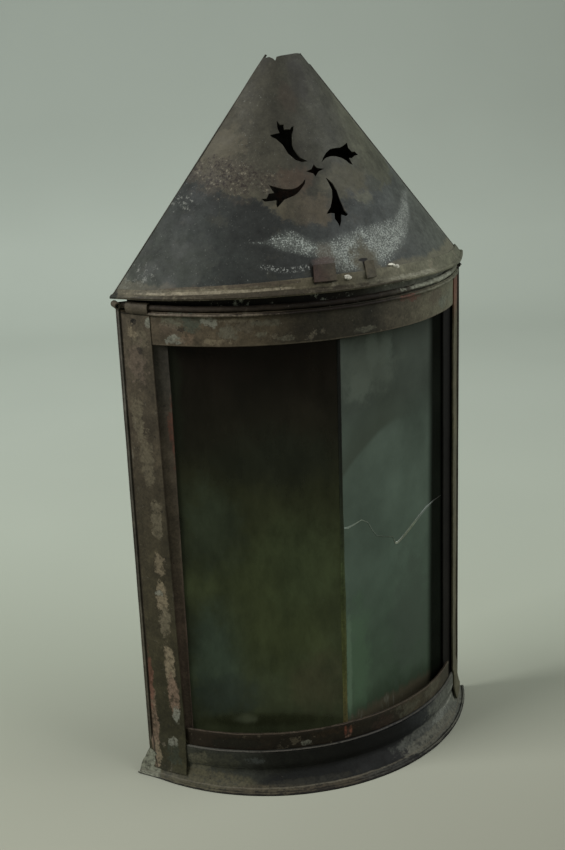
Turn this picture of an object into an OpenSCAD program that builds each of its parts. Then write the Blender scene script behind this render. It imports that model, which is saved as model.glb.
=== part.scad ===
// Half-round candle lantern of sheet iron.
// The front is bowed, with two flat panes standing in a V behind it.
// The half-cone roof is a lid, hinged along the flat back.
// The origin is on the table, straight below the candle.

/* [Body] */
// Half the width of the body across its flat back
body_half_w = 94.2; // [92:0.1:96]
// Depth of the bowed front, from the flat back
bow_depth = 53; // [52.5:0.1:54]
// Height of the body's top edge
body_h = 255; // [200:1:320]
// Thickness of the sheet iron
sheet = 0.8; // [0.6:0.1:0.9]
// Distance from the candle's axis to the flat back
candle_to_back = 22; // [20:0.5:24]
// Width of the two upright stiles
stile_w = 22; // [18:0.5:26]
// Width of the lips that fold the back plate round the stiles
seam_w = 3; // [2:0.5:5]

/* [Foot and bands] */
// Height of the flared foot
foot_h = 9.5; // [7:0.5:11]
// Half the width of the foot where it stands
foot_half_w = 99.3; // [98:0.1:104]
// Depth of the foot where it stands
foot_depth = 62.3; // [60:0.1:66]
// Height of the bottom band's upper edge
bottom_band_top = 20.6; // [18:0.1:24]
// Width of the top band, without its rim
top_band_w = 16.5; // [14:0.5:20]
// Radius of the wired rim on the top band
rim_r = 1.5; // [1.2:0.1:1.8]

/* [Glazing] */
// Width of each pane
pane_w = 87.8; // [80:0.1:88]
// Thickness of the glass
pane_t = 2; // [1.5:0.1:2.1]
// Distance from the flat back to the joint between the panes
pane_joint_depth = 49.6; // [48.5:0.1:50]
// Angle by which each pane falls back from the joint
pane_angle = 24.1; // [23.9:0.1:25]
// Width of the channels that hold the outer edges of the panes
channel_w = 7.2; // [5:0.1:9]
// Width of the strip behind the joint, on each pane
joint_strip_w = 4; // [3:0.5:6]
// Height of the gallery strip that shows above the bottom band
gallery_top = 30; // [26:0.5:36]
// Height of the ledge that the panes stand on
ledge_z = 12; // [11:0.5:14]
// Depth of the ledges, from the face of the panes
ledge_w = 6.5; // [5:0.5:9]

/* [Candle] */
// Radius of the bore that takes the candle
socket_r = 11.2; // [9:0.1:12]
// Height of the candle socket
socket_h = 25; // [18:1:32]
// Radius of the drip pan
pan_r = 18; // [15:0.5:19]
// Height of the pan's lip
pan_lip_h = 4; // [3:0.5:6]

/* [Handle] */
// Width of the strap handle on the back
handle_w = 22; // [16:1:30]
// How far the handle stands out
handle_out = 32; // [28:1:40]
// Height of the handle's lower arm
handle_low = 80; // [60:1:90]
// Height of the handle's upper arm
handle_high = 180; // [165:1:195]
// Thickness of the strap
strap_t = 1.6; // [1:0.1:2.5]
// Radius of the strap's outer corners
handle_corner_r = 12; // [6:1:16]
// Length of the tabs soldered to the back
handle_tab = 12; // [8:1:16]

/* [Roof] */
// Height of the eave's lower edge at the back
eave_z = 258.7; // [258:0.1:260]
// Angle by which the roof leans back
roof_tilt = 3.6; // [0:0.1:4]
// Half the width of the eave
eave_half_w = 98.2; // [97:0.1:100]
// Depth of the eave
eave_depth = 57.2; // [57:0.1:60]
// Height of the flared eave flange
flange_h = 5; // [4:0.5:6]
// Half the width of the half cone where it would meet the eave's plane
cone_half_w = 96.1; // [95.5:0.1:96.5]
// Depth of the half cone where it would meet the eave's plane
cone_depth = 55.9; // [55.5:0.1:56.2]
// Height of the cone's point, if it ran to one
cone_apex = 118; // [110:1:130]
// Height of the open top of the cone
cone_top = 105.6; // [95:0.1:106]
// Height at which the flat back sheet of the roof stops
roof_back_top = 101; // [90:1:102]

/* [Hinges] */
// Distance of each hinge from the middle
hinge_x = 55; // [40:1:65]
// Width of each hinge
leaf_w = 24; // [20:1:30]
// Height of each hinge leaf
leaf_h = 15; // [12:1:20]
// Outer radius of the knuckles
knuckle_r = 2.2; // [2:0.1:2.2]
// Radius of the hinge pins
pin_r = 1.2; // [0.9:0.1:1.3]
// Play between a pin and the knuckle that turns on it
pin_play = 0.05; // [0.03:0.01:0.08]
// Height of the hinge axis
hinge_z = 257.4; // [257.3:0.1:257.6]

/* [Hidden] */
$fn = 96;

// A hair that keeps cutting faces from lying in one plane
hair = 0.01;
// Clear space left between neighbours that don't touch
gap = 0.3;

// Radius of an arc from its half width and its depth
function arc_r(half_w, depth) = (half_w * half_w + depth * depth) / (2 * depth);

bow_r = arc_r(body_half_w, bow_depth);
bow_centre_y = bow_r - bow_depth;
bow_half_angle = asin(body_half_w / bow_r);
band_r = bow_r - sheet;
gallery_r = band_r - sheet;
collar_r = bow_r - 2 * rim_r;
band_top = body_h - 2 * rim_r;
stile_angle = stile_w / bow_r * 180 / PI;
seam_angle = seam_w / bow_r * 180 / PI;

// The galleries' curved strips end just behind the stiles, clear of the channels.
// The bottom one stops a little short of the right stile.
gallery_end_angle = 47.8;
gallery_right_angle = 46.5;

top_ledge_z = band_top - 2 - sheet;
top_gallery_low = band_top - top_band_w + 3;
pane_start = 1.1;
pane_low = ledge_z + sheet + 0.1;
pane_h = top_ledge_z - 0.1 - pane_low;

collar_rise = 3;
collar_back_gap = 2 * sheet;

cone_low = 2.5;
cone_wall_drop = 1.6;
cone_slope = atan(cone_apex / cone_depth);
flange_wall = 1;

tab_top = 11;
tab_slope = 57;
tab_l = 9.3;

knuckle_gap = 0.3;
side_knuckle_w = 6;
pin_over = 0.4;
leaf_clear = knuckle_r + 0.6;

// The pierced pattern: its height on the cone, where the tail of each arm
// starts from there, across and up the slope, and which way the arm points
star_h = 51.3;
star_x = -1;
star_tip = 4.2;
star_waist = 1.25;
arm_places = [[-3.5, 4.8, 113], [3.4, 4.2, 11], [4.3, -3.7, -89], [-6.3, -4, 196]];

// Points on a curve that leaves a towards b and arrives at c
function curve(a, b, c, steps = 8) =
    [for (i = [0:steps]) let (t = i / steps)
        a * (1 - t) * (1 - t) + b * 2 * t * (1 - t) + c * t * t];

// Moves a piece drawn from the flat back to its place
module at_back() {
    translate([0, candle_to_back, 0]) children();
}

// Moves a piece drawn on the level eave plane to the leaning roof
module on_roof() {
    translate([0, candle_to_back, eave_z]) rotate([-roof_tilt, 0, 0]) children();
}

// Outline of a bow standing in front of a straight back
module bow_shape(half_w, depth) {
    r = arc_r(half_w, depth);
    intersection() {
        translate([0, r - depth]) circle(r = r);
        translate([-half_w, -depth]) square([2 * half_w, depth]);
    }
}

// Everything in front of a plane just before the flat back
module in_front(from_back = sheet) {
    intersection() {
        children();
        translate([-150, -150 - from_back, -20]) cube([300, 150, 420]);
    }
}

// Curved strip that follows the bow, with its outer face at radius r
module bow_strip(r, low, high, from_back = sheet) {
    in_front(from_back) translate([0, bow_centre_y, low]) difference() {
        cylinder(h = high - low, r = r);
        translate([0, 0, -1]) cylinder(h = high - low + 2, r = r - sheet);
    }
}

// Wedge between two angles, which are counted from the middle of the bow
module wedge(from, to) {
    reach = 2 * bow_r;
    translate([0, bow_centre_y, -20]) linear_extrude(420)
        polygon([[0, 0], [reach * sin(from), -reach * cos(from)], [reach * sin(to), -reach * cos(to)]]);
}

// Sloping skirt between two bows, wide at its foot
module skirt(low_w, low_d, high_w, high_d, height, wall) {
    in_front() difference() {
        hull() {
            linear_extrude(hair) bow_shape(low_w, low_d);
            translate([0, 0, height - hair]) linear_extrude(hair) bow_shape(high_w, high_d);
        }
        hull() {
            translate([0, 0, -hair]) linear_extrude(hair) bow_shape(low_w - wall, low_d - wall);
            translate([0, 0, height]) linear_extrude(hair) bow_shape(high_w - wall, high_d - wall);
        }
    }
}

// Frame of one pane: X runs along it from the joint, Y runs behind it
module along_pane(side) {
    translate([0, -pane_joint_depth, 0]) mirror([side < 0 ? 1 : 0, 0, 0])
        rotate([0, 0, pane_angle]) children();
}

// Ledge between the bow and a V line behind the panes
module v_ledge(low) {
    reach = 90;
    point = -pane_joint_depth + ledge_w;
    in_front() intersection() {
        translate([0, bow_centre_y, low]) cylinder(h = sheet, r = gallery_r);
        translate([0, 0, low - 1]) linear_extrude(sheet + 2)
            polygon([[-reach, -bow_depth - 5], [reach, -bow_depth - 5],
                [reach, point + reach * tan(pane_angle)], [0, point],
                [-reach, point + reach * tan(pane_angle)]]);
    }
}

module floor_plate() {
    color("#3b342c") at_back() in_front() linear_extrude(sheet)
        bow_shape(foot_half_w - 2, foot_depth - 2);
}

module foot_rim() {
    color("#6b6256") at_back()
        skirt(foot_half_w, foot_depth, body_half_w - sheet / 2, bow_depth - sheet / 2, foot_h, 1);
}

module bottom_band() {
    color("#3d4248") at_back() bow_strip(band_r, foot_h, bottom_band_top);
}

module back_plate() {
    color("#45423a") at_back() {
        translate([-body_half_w - sheet, -sheet, 0]) cube([2 * (body_half_w + sheet), sheet, body_h]);
        for (side = [-1, 1]) intersection() {
            bow_strip(bow_r + sheet, foot_h, body_h);
            wedge(side * (bow_half_angle - seam_angle), side * (bow_half_angle + 1));
        }
    }
}

module stile(side) {
    color("#4d4a3c") at_back() intersection() {
        bow_strip(bow_r, foot_h, band_top);
        wedge(side * (bow_half_angle - stile_angle), side * (bow_half_angle + 1));
    }
}

module top_band() {
    color("#57503f") at_back() bow_strip(band_r, band_top - top_band_w, band_top);
}

module top_rim() {
    color("#5c5344") at_back() in_front() translate([0, bow_centre_y, band_top + rim_r])
        rotate_extrude() translate([bow_r - rim_r, 0]) circle(r = rim_r, $fn = 24);
}

module roof_collar() {
    color("#8b8673") intersection() {
        at_back() bow_strip(collar_r, top_ledge_z + sheet, eave_z + 20, collar_back_gap);
        on_roof() translate([-150, -150, collar_rise - 60]) cube([300, 200, 60]);
    }
}

module bottom_gallery() {
    color("#4a4136") at_back() {
        intersection() {
            bow_strip(gallery_r, ledge_z, gallery_top);
            wedge(-gallery_end_angle, gallery_right_angle);
        }
        v_ledge(ledge_z);
    }
}

module top_gallery() {
    color("#4a4136") at_back() {
        intersection() {
            bow_strip(gallery_r, top_gallery_low, top_ledge_z + sheet);
            wedge(-gallery_end_angle, gallery_end_angle);
        }
        v_ledge(top_ledge_z);
    }
}

module glass_channel(side) {
    outer = pane_start + pane_w + sheet;
    color("#524b3d") at_back() along_pane(side)
        translate([outer - channel_w, -sheet, ledge_z + sheet]) difference() {
            cube([channel_w, pane_t + 2 * sheet, top_ledge_z - ledge_z - sheet]);
            translate([-1, sheet - hair, -1])
                cube([channel_w - sheet + 1, pane_t + 2 * hair, top_ledge_z - ledge_z + 2]);
        }
}

module pane(side) {
    color("#5f7a6c", 0.5) at_back() along_pane(side)
        translate([pane_start, 0, pane_low]) cube([pane_w, pane_t, pane_h]);
}

module pane_joint_strip() {
    color("#3a3a30") at_back() for (side = [-1, 1]) along_pane(side)
        translate([pane_start - 0.2, pane_t, ledge_z + sheet])
            cube([joint_strip_w, sheet, top_ledge_z - ledge_z - sheet]);
}

module drip_pan() {
    color("#77705f") translate([0, 0, sheet]) rotate_extrude()
        polygon([[0, 0], [pan_r - sheet, 0], [pan_r, pan_lip_h], [pan_r - sheet, pan_lip_h],
            [pan_r - 2 * sheet, sheet], [0, sheet]]);
}

module candle_socket() {
    color("#8a8270") translate([0, 0, 2 * sheet]) difference() {
        cylinder(h = socket_h, r = socket_r + sheet);
        translate([0, 0, -1]) cylinder(h = socket_h + 2, r = socket_r);
    }
}

// One side of the strap handle, drawn as distance out and height
function strap_side(inset) =
    let (r = handle_corner_r - inset, out = handle_out - inset)
    concat(
        [[strap_t - inset, handle_low - handle_tab], [strap_t - inset, handle_low + inset]],
        [for (a = [0:10:90]) [out - r + r * sin(a), handle_low + inset + r - r * cos(a)]],
        [for (a = [0:10:90]) [out - r + r * cos(a), handle_high - inset - r + r * sin(a)]],
        [[strap_t - inset, handle_high - inset], [strap_t - inset, handle_high + handle_tab]]);

module back_handle() {
    outer = strap_side(0);
    inner = strap_side(strap_t);
    back_to_front = [for (i = [len(inner) - 1:-1:0]) inner[i]];
    color("#4a4538") at_back() translate([-handle_w / 2, 0, 0]) rotate([90, 0, 90])
        linear_extrude(handle_w) polygon(concat(outer, back_to_front));
}

// Knuckle of a hinge, between two places along its axis
module knuckle(from, to, bore_r) {
    translate([from, knuckle_r, hinge_z]) rotate([0, 90, 0]) difference() {
        cylinder(h = to - from, r = knuckle_r, $fn = 48);
        translate([0, 0, -1]) cylinder(h = to - from + 2, r = bore_r, $fn = 48);
    }
}

// Plate of a hinge leaf, from one height to another, with the pin's way kept clear
module tongue(from, to, low, high) {
    difference() {
        translate([from, 0, low]) cube([to - from, sheet, high - low]);
        translate([from - 1, knuckle_r, hinge_z]) rotate([0, 90, 0])
            cylinder(h = to - from + 2, r = pin_r + pin_play, $fn = 48);
    }
}

module lower_leaf(side) {
    half = leaf_w / 2;
    color("#4b463c") at_back() translate([side * hinge_x, 0, 0]) {
        translate([-half, 0, hinge_z - leaf_clear - leaf_h]) cube([leaf_w, sheet, leaf_h]);
        for (from = [-half, half - side_knuckle_w]) {
            tongue(from, from + side_knuckle_w, hinge_z - leaf_clear - 1, hinge_z);
            knuckle(from, from + side_knuckle_w, pin_r);
        }
    }
}

module upper_leaf(side) {
    half = leaf_w / 2;
    mid = half - side_knuckle_w - knuckle_gap;
    foot = leaf_clear + hinge_z - eave_z;
    color("#4b463c") {
        on_roof() translate([side * hinge_x, 0, 0]) {
            translate([-half, 0, foot]) cube([leaf_w, sheet, leaf_h]);
            translate([-mid, 0, hinge_z - eave_z]) cube([2 * mid, sheet, foot + eave_z - hinge_z + 1]);
        }
        at_back() translate([side * hinge_x, 0, 0]) knuckle(-mid, mid, pin_r + pin_play);
    }
}

module hinge_pin(side) {
    half = leaf_w / 2 + pin_over;
    color("#5b5850") at_back() translate([side * hinge_x - half, knuckle_r, hinge_z])
        rotate([0, 90, 0]) cylinder(h = 2 * half, r = pin_r, $fn = 48);
}

// Solid half cone whose point stands over the flat back
module half_cone(height) {
    linear_extrude(height = height, scale = (cone_apex - height) / cone_apex)
        bow_shape(cone_half_w, cone_depth);
}

// Tulip-headed comma, from its tail along X to its middle tip
module comma() {
    left_side = curve([0, 0], [5.5, 5.2], [15.8, 3.9]);
    right_side = curve([13.4, -1.2], [7.5, 2.4], [0, 0]);
    polygon(concat(left_side,
        [[20.3, 5.9], [19.6, 2.2], [24.4, 0], [18, -0.9], [17, -4.7]], right_side));
}

module star() {
    points = [for (i = [0:7]) let (r = i % 2 == 0 ? star_tip : star_waist)
        [star_x + r * cos(45 * i), r * sin(45 * i)]];
    polygon(points);
}

module pierced_pattern() {
    cone_y = cone_depth * (cone_apex - star_h) / cone_apex;
    translate([0, -cone_y, star_h]) rotate([cone_slope, 0, 0]) translate([0, 0, -14])
        linear_extrude(20) {
            star();
            for (place = arm_places) translate([place[0], place[1]]) rotate(place[2]) comma();
        }
}

module roof_cone() {
    color("#41454a") on_roof() difference() {
        intersection() {
            half_cone(cone_top);
            translate([-150, -150 - sheet, cone_low]) cube([300, 150, cone_top]);
        }
        translate([0, 0, -cone_wall_drop]) half_cone(cone_apex - 5);
        pierced_pattern();
    }
}

module eave_flange() {
    shrink = (cone_apex - flange_h) / cone_apex;
    color("#5d5546") on_roof() skirt(eave_half_w, eave_depth,
        cone_half_w * shrink + flange_wall, cone_depth * shrink + flange_wall, flange_h, flange_wall);
}

module roof_back() {
    low = gap;
    low_w = cone_half_w * (cone_apex - low) / cone_apex;
    high_w = cone_half_w * (cone_apex - roof_back_top) / cone_apex;
    color("#44413a") on_roof() rotate([90, 0, 0]) linear_extrude(sheet)
        polygon([[-low_w, low], [low_w, low], [high_w, roof_back_top], [-high_w, roof_back_top]]);
}

// Sheet tab low on the front of the cone, at a distance x from the middle
module front_tab(x, width) {
    shrink = (cone_apex - tab_top) / cone_apex;
    depth = cone_depth * shrink;
    r = arc_r(cone_half_w * shrink, depth);
    color("#6a5a46") on_roof() translate([0, r - depth, tab_top]) rotate([0, 0, asin(x / r)])
        translate([0, -r - hair, 0]) rotate([tab_slope, 0, 0])
            translate([-width / 2, -tab_l, 0]) cube([width, tab_l, sheet]);
}

floor_plate();
foot_rim();
bottom_band();
back_plate();
stile(-1);  // left_stile
stile(1);  // right_stile
top_band();
top_rim();
roof_collar();
bottom_gallery();
top_gallery();
glass_channel(-1);  // left_glass_channel
glass_channel(1);  // right_glass_channel
pane(-1);  // left_pane
pane(1);  // right_pane
pane_joint_strip();
drip_pan();
candle_socket();
back_handle();
lower_leaf(-1);  // left_lower_leaf
lower_leaf(1);  // right_lower_leaf
hinge_pin(-1);  // left_hinge_pin
hinge_pin(1);  // right_hinge_pin
roof_cone();
eave_flange();
roof_back();
front_tab(-8.25, 10.5);  // left_front_tab
front_tab(14.2, 9.4);  // right_front_tab
upper_leaf(-1);  // left_upper_leaf
upper_leaf(1);  // right_upper_leaf
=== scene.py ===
# %% [markdown]
# # A half-round candle lantern of sheet iron
#
# The real lantern is tinsmith's work: flat blanks of thin iron, cut with shears, bent round
# a bow, lapped at the edges and soldered. Two flat panes stand in a V behind the bowed front,
# and the roof is a half cone with a punched flower, hinged to the flat back.
# This lesson dresses the exact solids with those sheets, one step at a time.

# %% [markdown]
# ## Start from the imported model
#
# The solids give every place and size. Reading them first, and measuring them before
# anything is added, keeps the dressed lantern the size of the real one.

# %% Load the frame
import math

import bmesh
import bpy
from mathutils import Matrix, Vector, noise


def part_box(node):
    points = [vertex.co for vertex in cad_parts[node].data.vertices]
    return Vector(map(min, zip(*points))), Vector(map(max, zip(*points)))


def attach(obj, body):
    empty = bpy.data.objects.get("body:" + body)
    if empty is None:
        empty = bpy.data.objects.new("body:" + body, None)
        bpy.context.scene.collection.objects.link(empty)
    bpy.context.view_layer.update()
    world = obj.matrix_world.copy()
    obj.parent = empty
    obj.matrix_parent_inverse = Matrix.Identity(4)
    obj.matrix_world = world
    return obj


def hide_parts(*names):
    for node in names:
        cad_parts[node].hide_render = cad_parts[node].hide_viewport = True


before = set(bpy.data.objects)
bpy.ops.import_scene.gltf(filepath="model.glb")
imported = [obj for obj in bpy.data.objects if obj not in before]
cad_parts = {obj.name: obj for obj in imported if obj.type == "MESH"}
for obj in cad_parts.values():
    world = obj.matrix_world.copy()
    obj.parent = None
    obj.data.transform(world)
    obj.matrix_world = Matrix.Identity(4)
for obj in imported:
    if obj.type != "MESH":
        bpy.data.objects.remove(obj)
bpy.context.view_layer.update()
MM = 0.001
back_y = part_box("back_plate")[1][1]
print("nodes:", len(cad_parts), "back face at", round(back_y, 4))

# %% [markdown]
# ## The camera
#
# The photograph looks down a little on the lantern, from its left. The camera is turned a
# little about its own axis too, because the lantern's upright edges lean in the picture.
# The matrix is written out from three directions, which is plainer than a chain of turns.

# %% Camera
azimuth, pitch, roll = math.radians(-23.18), math.radians(17.23), -0.0391
away = Vector((math.sin(azimuth) * math.cos(pitch), -math.cos(azimuth) * math.cos(pitch), math.sin(pitch)))
level = (-away).cross(Vector((0, 0, 1))).normalized()
upright = level.cross(-away).normalized()
right = math.cos(roll) * level + math.sin(roll) * upright
up = -math.sin(roll) * level + math.cos(roll) * upright
camera = bpy.data.objects.new("camera", bpy.data.cameras.new("camera"))
bpy.context.scene.collection.objects.link(camera)
camera.matrix_world = Matrix.Translation((-0.2572, back_y - 0.5758, 0.3745)) @ Matrix((right, up, away)).transposed().to_4x4()
camera.data.lens = 53.5
camera.data.sensor_width = 36
bpy.context.scene.camera = camera
print("camera at", [round(v, 3) for v in camera.matrix_world.translation])

# %% [markdown]
# ## Helpers for meshes
#
# Almost every piece here is a sheet: a thin outline that is carried along a path. One helper
# gives a line its thickness, one carries an outline through a row of rings, and one cleans
# the mesh, so that its faces point outwards and its sharp folds stay sharp.


# %% Outlines and lofts
def fill(line, step):
    """The same line with a point at least every step, in mm."""
    points = [Vector(line[0])]
    for a, b in zip(line[:-1], line[1:]):
        a, b = Vector(a), Vector(b)
        count = max(1, math.ceil((b - a).length / step))
        points += [a.lerp(b, i / count) for i in range(1, count + 1)]
    return points


def section(line, thick=0.8, step=6):
    """Closed outline of a sheet of that thickness along a line of (offset, height) points, in mm."""
    points = fill(line, step)
    one, other = [], []
    for i, p in enumerate(points):
        along = (points[min(i + 1, len(points) - 1)] - points[max(i - 1, 0)]).normalized()
        across = Vector((-along.y, along.x)) * thick / 2
        one.append(p + across)
        other.append(p - across)
    return one + other[::-1]


def loft(name, rings, closed=False):
    """A closed mesh through rings of points, with a cap at each end unless the row is closed."""
    count = len(rings[0])
    faces = []
    for r in range(len(rings) - (0 if closed else 1)):
        here, there = r * count, (r + 1) % len(rings) * count
        faces += [(here + i, here + (i + 1) % count, there + (i + 1) % count, there + i) for i in range(count)]
    if not closed:
        last = (len(rings) - 1) * count
        faces += [tuple(range(count))[::-1], tuple(range(last, last + count))]
    mesh = bpy.data.meshes.new(name)
    mesh.from_pydata([tuple(p) for ring in rings for p in ring], [], faces)
    piece = bpy.data.objects.new(name, mesh)
    bpy.context.scene.collection.objects.link(piece)
    return piece


def clean(piece, fold=38):
    """Faces outwards, smooth shading, and a sharp edge at every fold steeper than that angle."""
    work = bmesh.new()
    work.from_mesh(piece.data)
    bmesh.ops.recalc_face_normals(work, faces=work.faces)
    work.to_mesh(piece.data)
    work.free()
    for face in piece.data.polygons:
        face.use_smooth = True
    piece.data.set_sharp_from_angle(angle=math.radians(fold))
    return piece


def join(name, pieces):
    """One object from several, with the finish of the first."""
    work = bmesh.new()
    for piece in pieces:
        work.from_mesh(piece.data)
    mesh = bpy.data.meshes.new(name)
    work.to_mesh(mesh)
    work.free()
    for material in pieces[0].data.materials:
        mesh.materials.append(material)
    for piece in pieces:
        bpy.data.objects.remove(piece)
    whole = bpy.data.objects.new(name, mesh)
    bpy.context.scene.collection.objects.link(whole)
    return clean(whole)


def carry(piece, body, finish=None, nodes=()):
    """Gives a piece its finish, lets it ride on its body and stand for its solids."""
    if finish:
        piece.data.materials.clear()
        piece.data.materials.append(finish)
    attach(piece, body)
    if nodes:
        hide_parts(*nodes)
    print(piece.name, len(piece.data.vertices), "points")
    return piece


# %% [markdown]
# ## Helpers for finishes
#
# Old painted iron is never one colour. Each finish starts from a colour that runs across the
# piece, gets clouds, grain and flecks, and then its patches, each at its own place: mostly marks
# that the real lantern has, and on a few pieces painted shade and painted shadow. All patterns
# read Object coordinates, so they stay where they are painted.


# %% A finish under construction
def add(tree, kind, inputs=None, **settings):
    """A new node in the tree, with its settings and its inputs, linked or set."""
    node = tree.nodes.new(kind)
    for key, value in settings.items():
        setattr(node, key, value)
    for key, value in (inputs or {}).items():
        if isinstance(value, bpy.types.NodeSocket):
            tree.links.new(value, node.inputs[key])
        else:
            node.inputs[key].default_value = value
    return node


class Finish:
    """A material; each method adds nodes and returns the socket with the result."""

    def __init__(self, name, roughness=0.6, **shader):
        self.material = bpy.data.materials.new(name)
        self.material.use_nodes = True
        self.tree = self.material.node_tree
        self.shader = self.tree.nodes["Principled BSDF"]
        self.shader.inputs["Roughness"].default_value = roughness
        for key, value in shader.items():
            self.shader.inputs[key.replace("_", " ")].default_value = value
        self.place = add(self.tree, "ShaderNodeTexCoord").outputs["Object"]
        self.seed = 0.0
        self.kept = {}

    def moved(self, centre=(0, 0, 0), turn=(0, 0, 0), size=(1, 1, 1), place=None):
        """Coordinates that are 0 at the centre, turned, and 1 at the given size; in mm and degrees."""
        return add(self.tree, "ShaderNodeMapping", {
            "Vector": place or self.place, "Location": [v * MM for v in centre],
            "Rotation": [math.radians(v) for v in turn], "Scale": size}, vector_type="TEXTURE").outputs[0]

    def axis(self, which, low, high, place=None):
        """0 to 1 between two places in mm along one axis."""
        part = add(self.tree, "ShaderNodeSeparateXYZ", {"Vector": place or self.place}).outputs[which]
        return self.spread(part, low * MM, high * MM, soft=False)

    def noise(self, size, detail=4, rough=0.55, twist=0.0, place=None):
        """Cloudy value about 0.5, with clouds of that size in mm."""
        self.seed += 1.7
        return add(self.tree, "ShaderNodeTexNoise", {
            "Vector": place or self.place, "W": self.seed, "Scale": 1000 / size, "Detail": detail,
            "Roughness": rough, "Distortion": twist}, noise_dimensions="4D").outputs[0]

    def spread(self, value, low, high, start=0.0, end=1.0, soft=True):
        """start at low, end at high, with a soft turn at both."""
        return add(self.tree, "ShaderNodeMapRange", {
            "Value": value, "From Min": low, "From Max": high, "To Min": start, "To Max": end},
            interpolation_type="SMOOTHSTEP" if soft else "LINEAR").outputs[0]

    def sums(self, operation, a, b=0.0):
        return add(self.tree, "ShaderNodeMath", {0: a, 1: b}, operation=operation).outputs[0]

    def ramp(self, value, stops):
        """Colour that runs through (place, colour) stops."""
        node = add(self.tree, "ShaderNodeValToRGB", {0: value})
        while len(node.color_ramp.elements) < len(stops):
            node.color_ramp.elements.new(0.5)
        for element, (place, colour) in zip(node.color_ramp.elements, stops):
            element.position = place
            element.color = (*colour, 1)
        return node.outputs[0]

    def curve(self, value, points):
        """Number that runs smoothly through (place, number) points, all from 0 to 1."""
        node = add(self.tree, "ShaderNodeFloatCurve", {1: value})
        line = node.mapping.curves[0]
        for i, (x, y) in enumerate(points):
            if i < 2:
                line.points[i].location = (x, y)
            else:
                line.points.new(x, y)
        node.mapping.update()
        return node.outputs[0]

    def blend(self, base, colour, mask):
        """The colour laid over the base where the mask is 1."""
        node = add(self.tree, "ShaderNodeMix", {0: mask}, data_type="RGBA")
        for key, value in ((6, base), (7, colour)):
            if isinstance(value, bpy.types.NodeSocket):
                self.tree.links.new(value, node.inputs[key])
            else:
                node.inputs[key].default_value = (*value, 1)
        return node.outputs[2]

    def shade(self, colour, value, dark=0.7, light=1.3):
        """The colour made darker or lighter by a cloudy value."""
        factor = self.spread(value, 0.3, 0.7, dark, light, soft=False)
        if not isinstance(colour, bpy.types.NodeSocket):
            colour = self.blend(colour, colour, 0.0)
        return add(self.tree, "ShaderNodeVectorMath", {0: colour, 3: factor}, operation="SCALE").outputs[0]

    def rough(self, grain):
        """Rough noise about 0, kept by its grain, so that many patches share one node."""
        if grain not in self.kept:
            self.kept[grain] = self.sums("SUBTRACT", self.noise(grain, 6, 0.72), 0.5)
        return self.kept[grain]

    def spot(self, centre, size, ragged=0.5, grain=4.0, edge=0.16, turn=(0, 0, 0), place=None):
        """1 inside an ellipsoid with a ragged edge, 0 outside; centre, size and grain in mm."""
        inside = self.moved(centre, turn, [v * MM for v in size], place)
        far = add(self.tree, "ShaderNodeVectorMath", {0: inside}, operation="LENGTH").outputs["Value"]
        jagged = self.sums("MULTIPLY", self.rough(grain), 4.2 * ragged)
        return self.spread(self.sums("ADD", far, jagged), 1 + edge, 1 - edge)

    def both(self, a, b):
        return self.sums("MULTIPLY", a, b)

    def line(self, which, place, half):
        """1 on a thin, wandering and broken band across one axis, in mm."""
        part = add(self.tree, "ShaderNodeSeparateXYZ", {"Vector": self.place}).outputs[which]
        sway = self.sums("MULTIPLY", self.sums("SUBTRACT", self.noise(6, 5, 0.65), 0.5), 2.2 * half * MM)
        far = self.sums("ABSOLUTE", self.sums("SUBTRACT", self.sums("ADD", part, sway), place * MM))
        return self.both(self.spread(far, half * MM, half * 0.45 * MM), self.spread(self.noise(5, 5, 0.7), 0.36, 0.48, 0.25, 1.0))

    def done(self, colour, height=None, relief=0.2, roughness=None):
        """Links the results to the shader; relief is the depth of the bumps in mm."""
        self.tree.links.new(colour, self.shader.inputs["Base Color"])
        if roughness is not None:
            self.tree.links.new(roughness, self.shader.inputs["Roughness"])
        if height is not None:
            bump = add(self.tree, "ShaderNodeBump", {"Height": height, "Distance": relief * MM, "Strength": 1.0})
            self.tree.links.new(bump.outputs[0], self.shader.inputs["Normal"])
        return self.material


# %% [markdown]
# ## Worn iron
#
# All the sheets share one recipe: clouds of darker and lighter paint, a fine grain, flecks
# where the paint is gone, and a little relief. What differs is the run of colour across the
# piece and the patches, so these are what the recipe takes.


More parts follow.
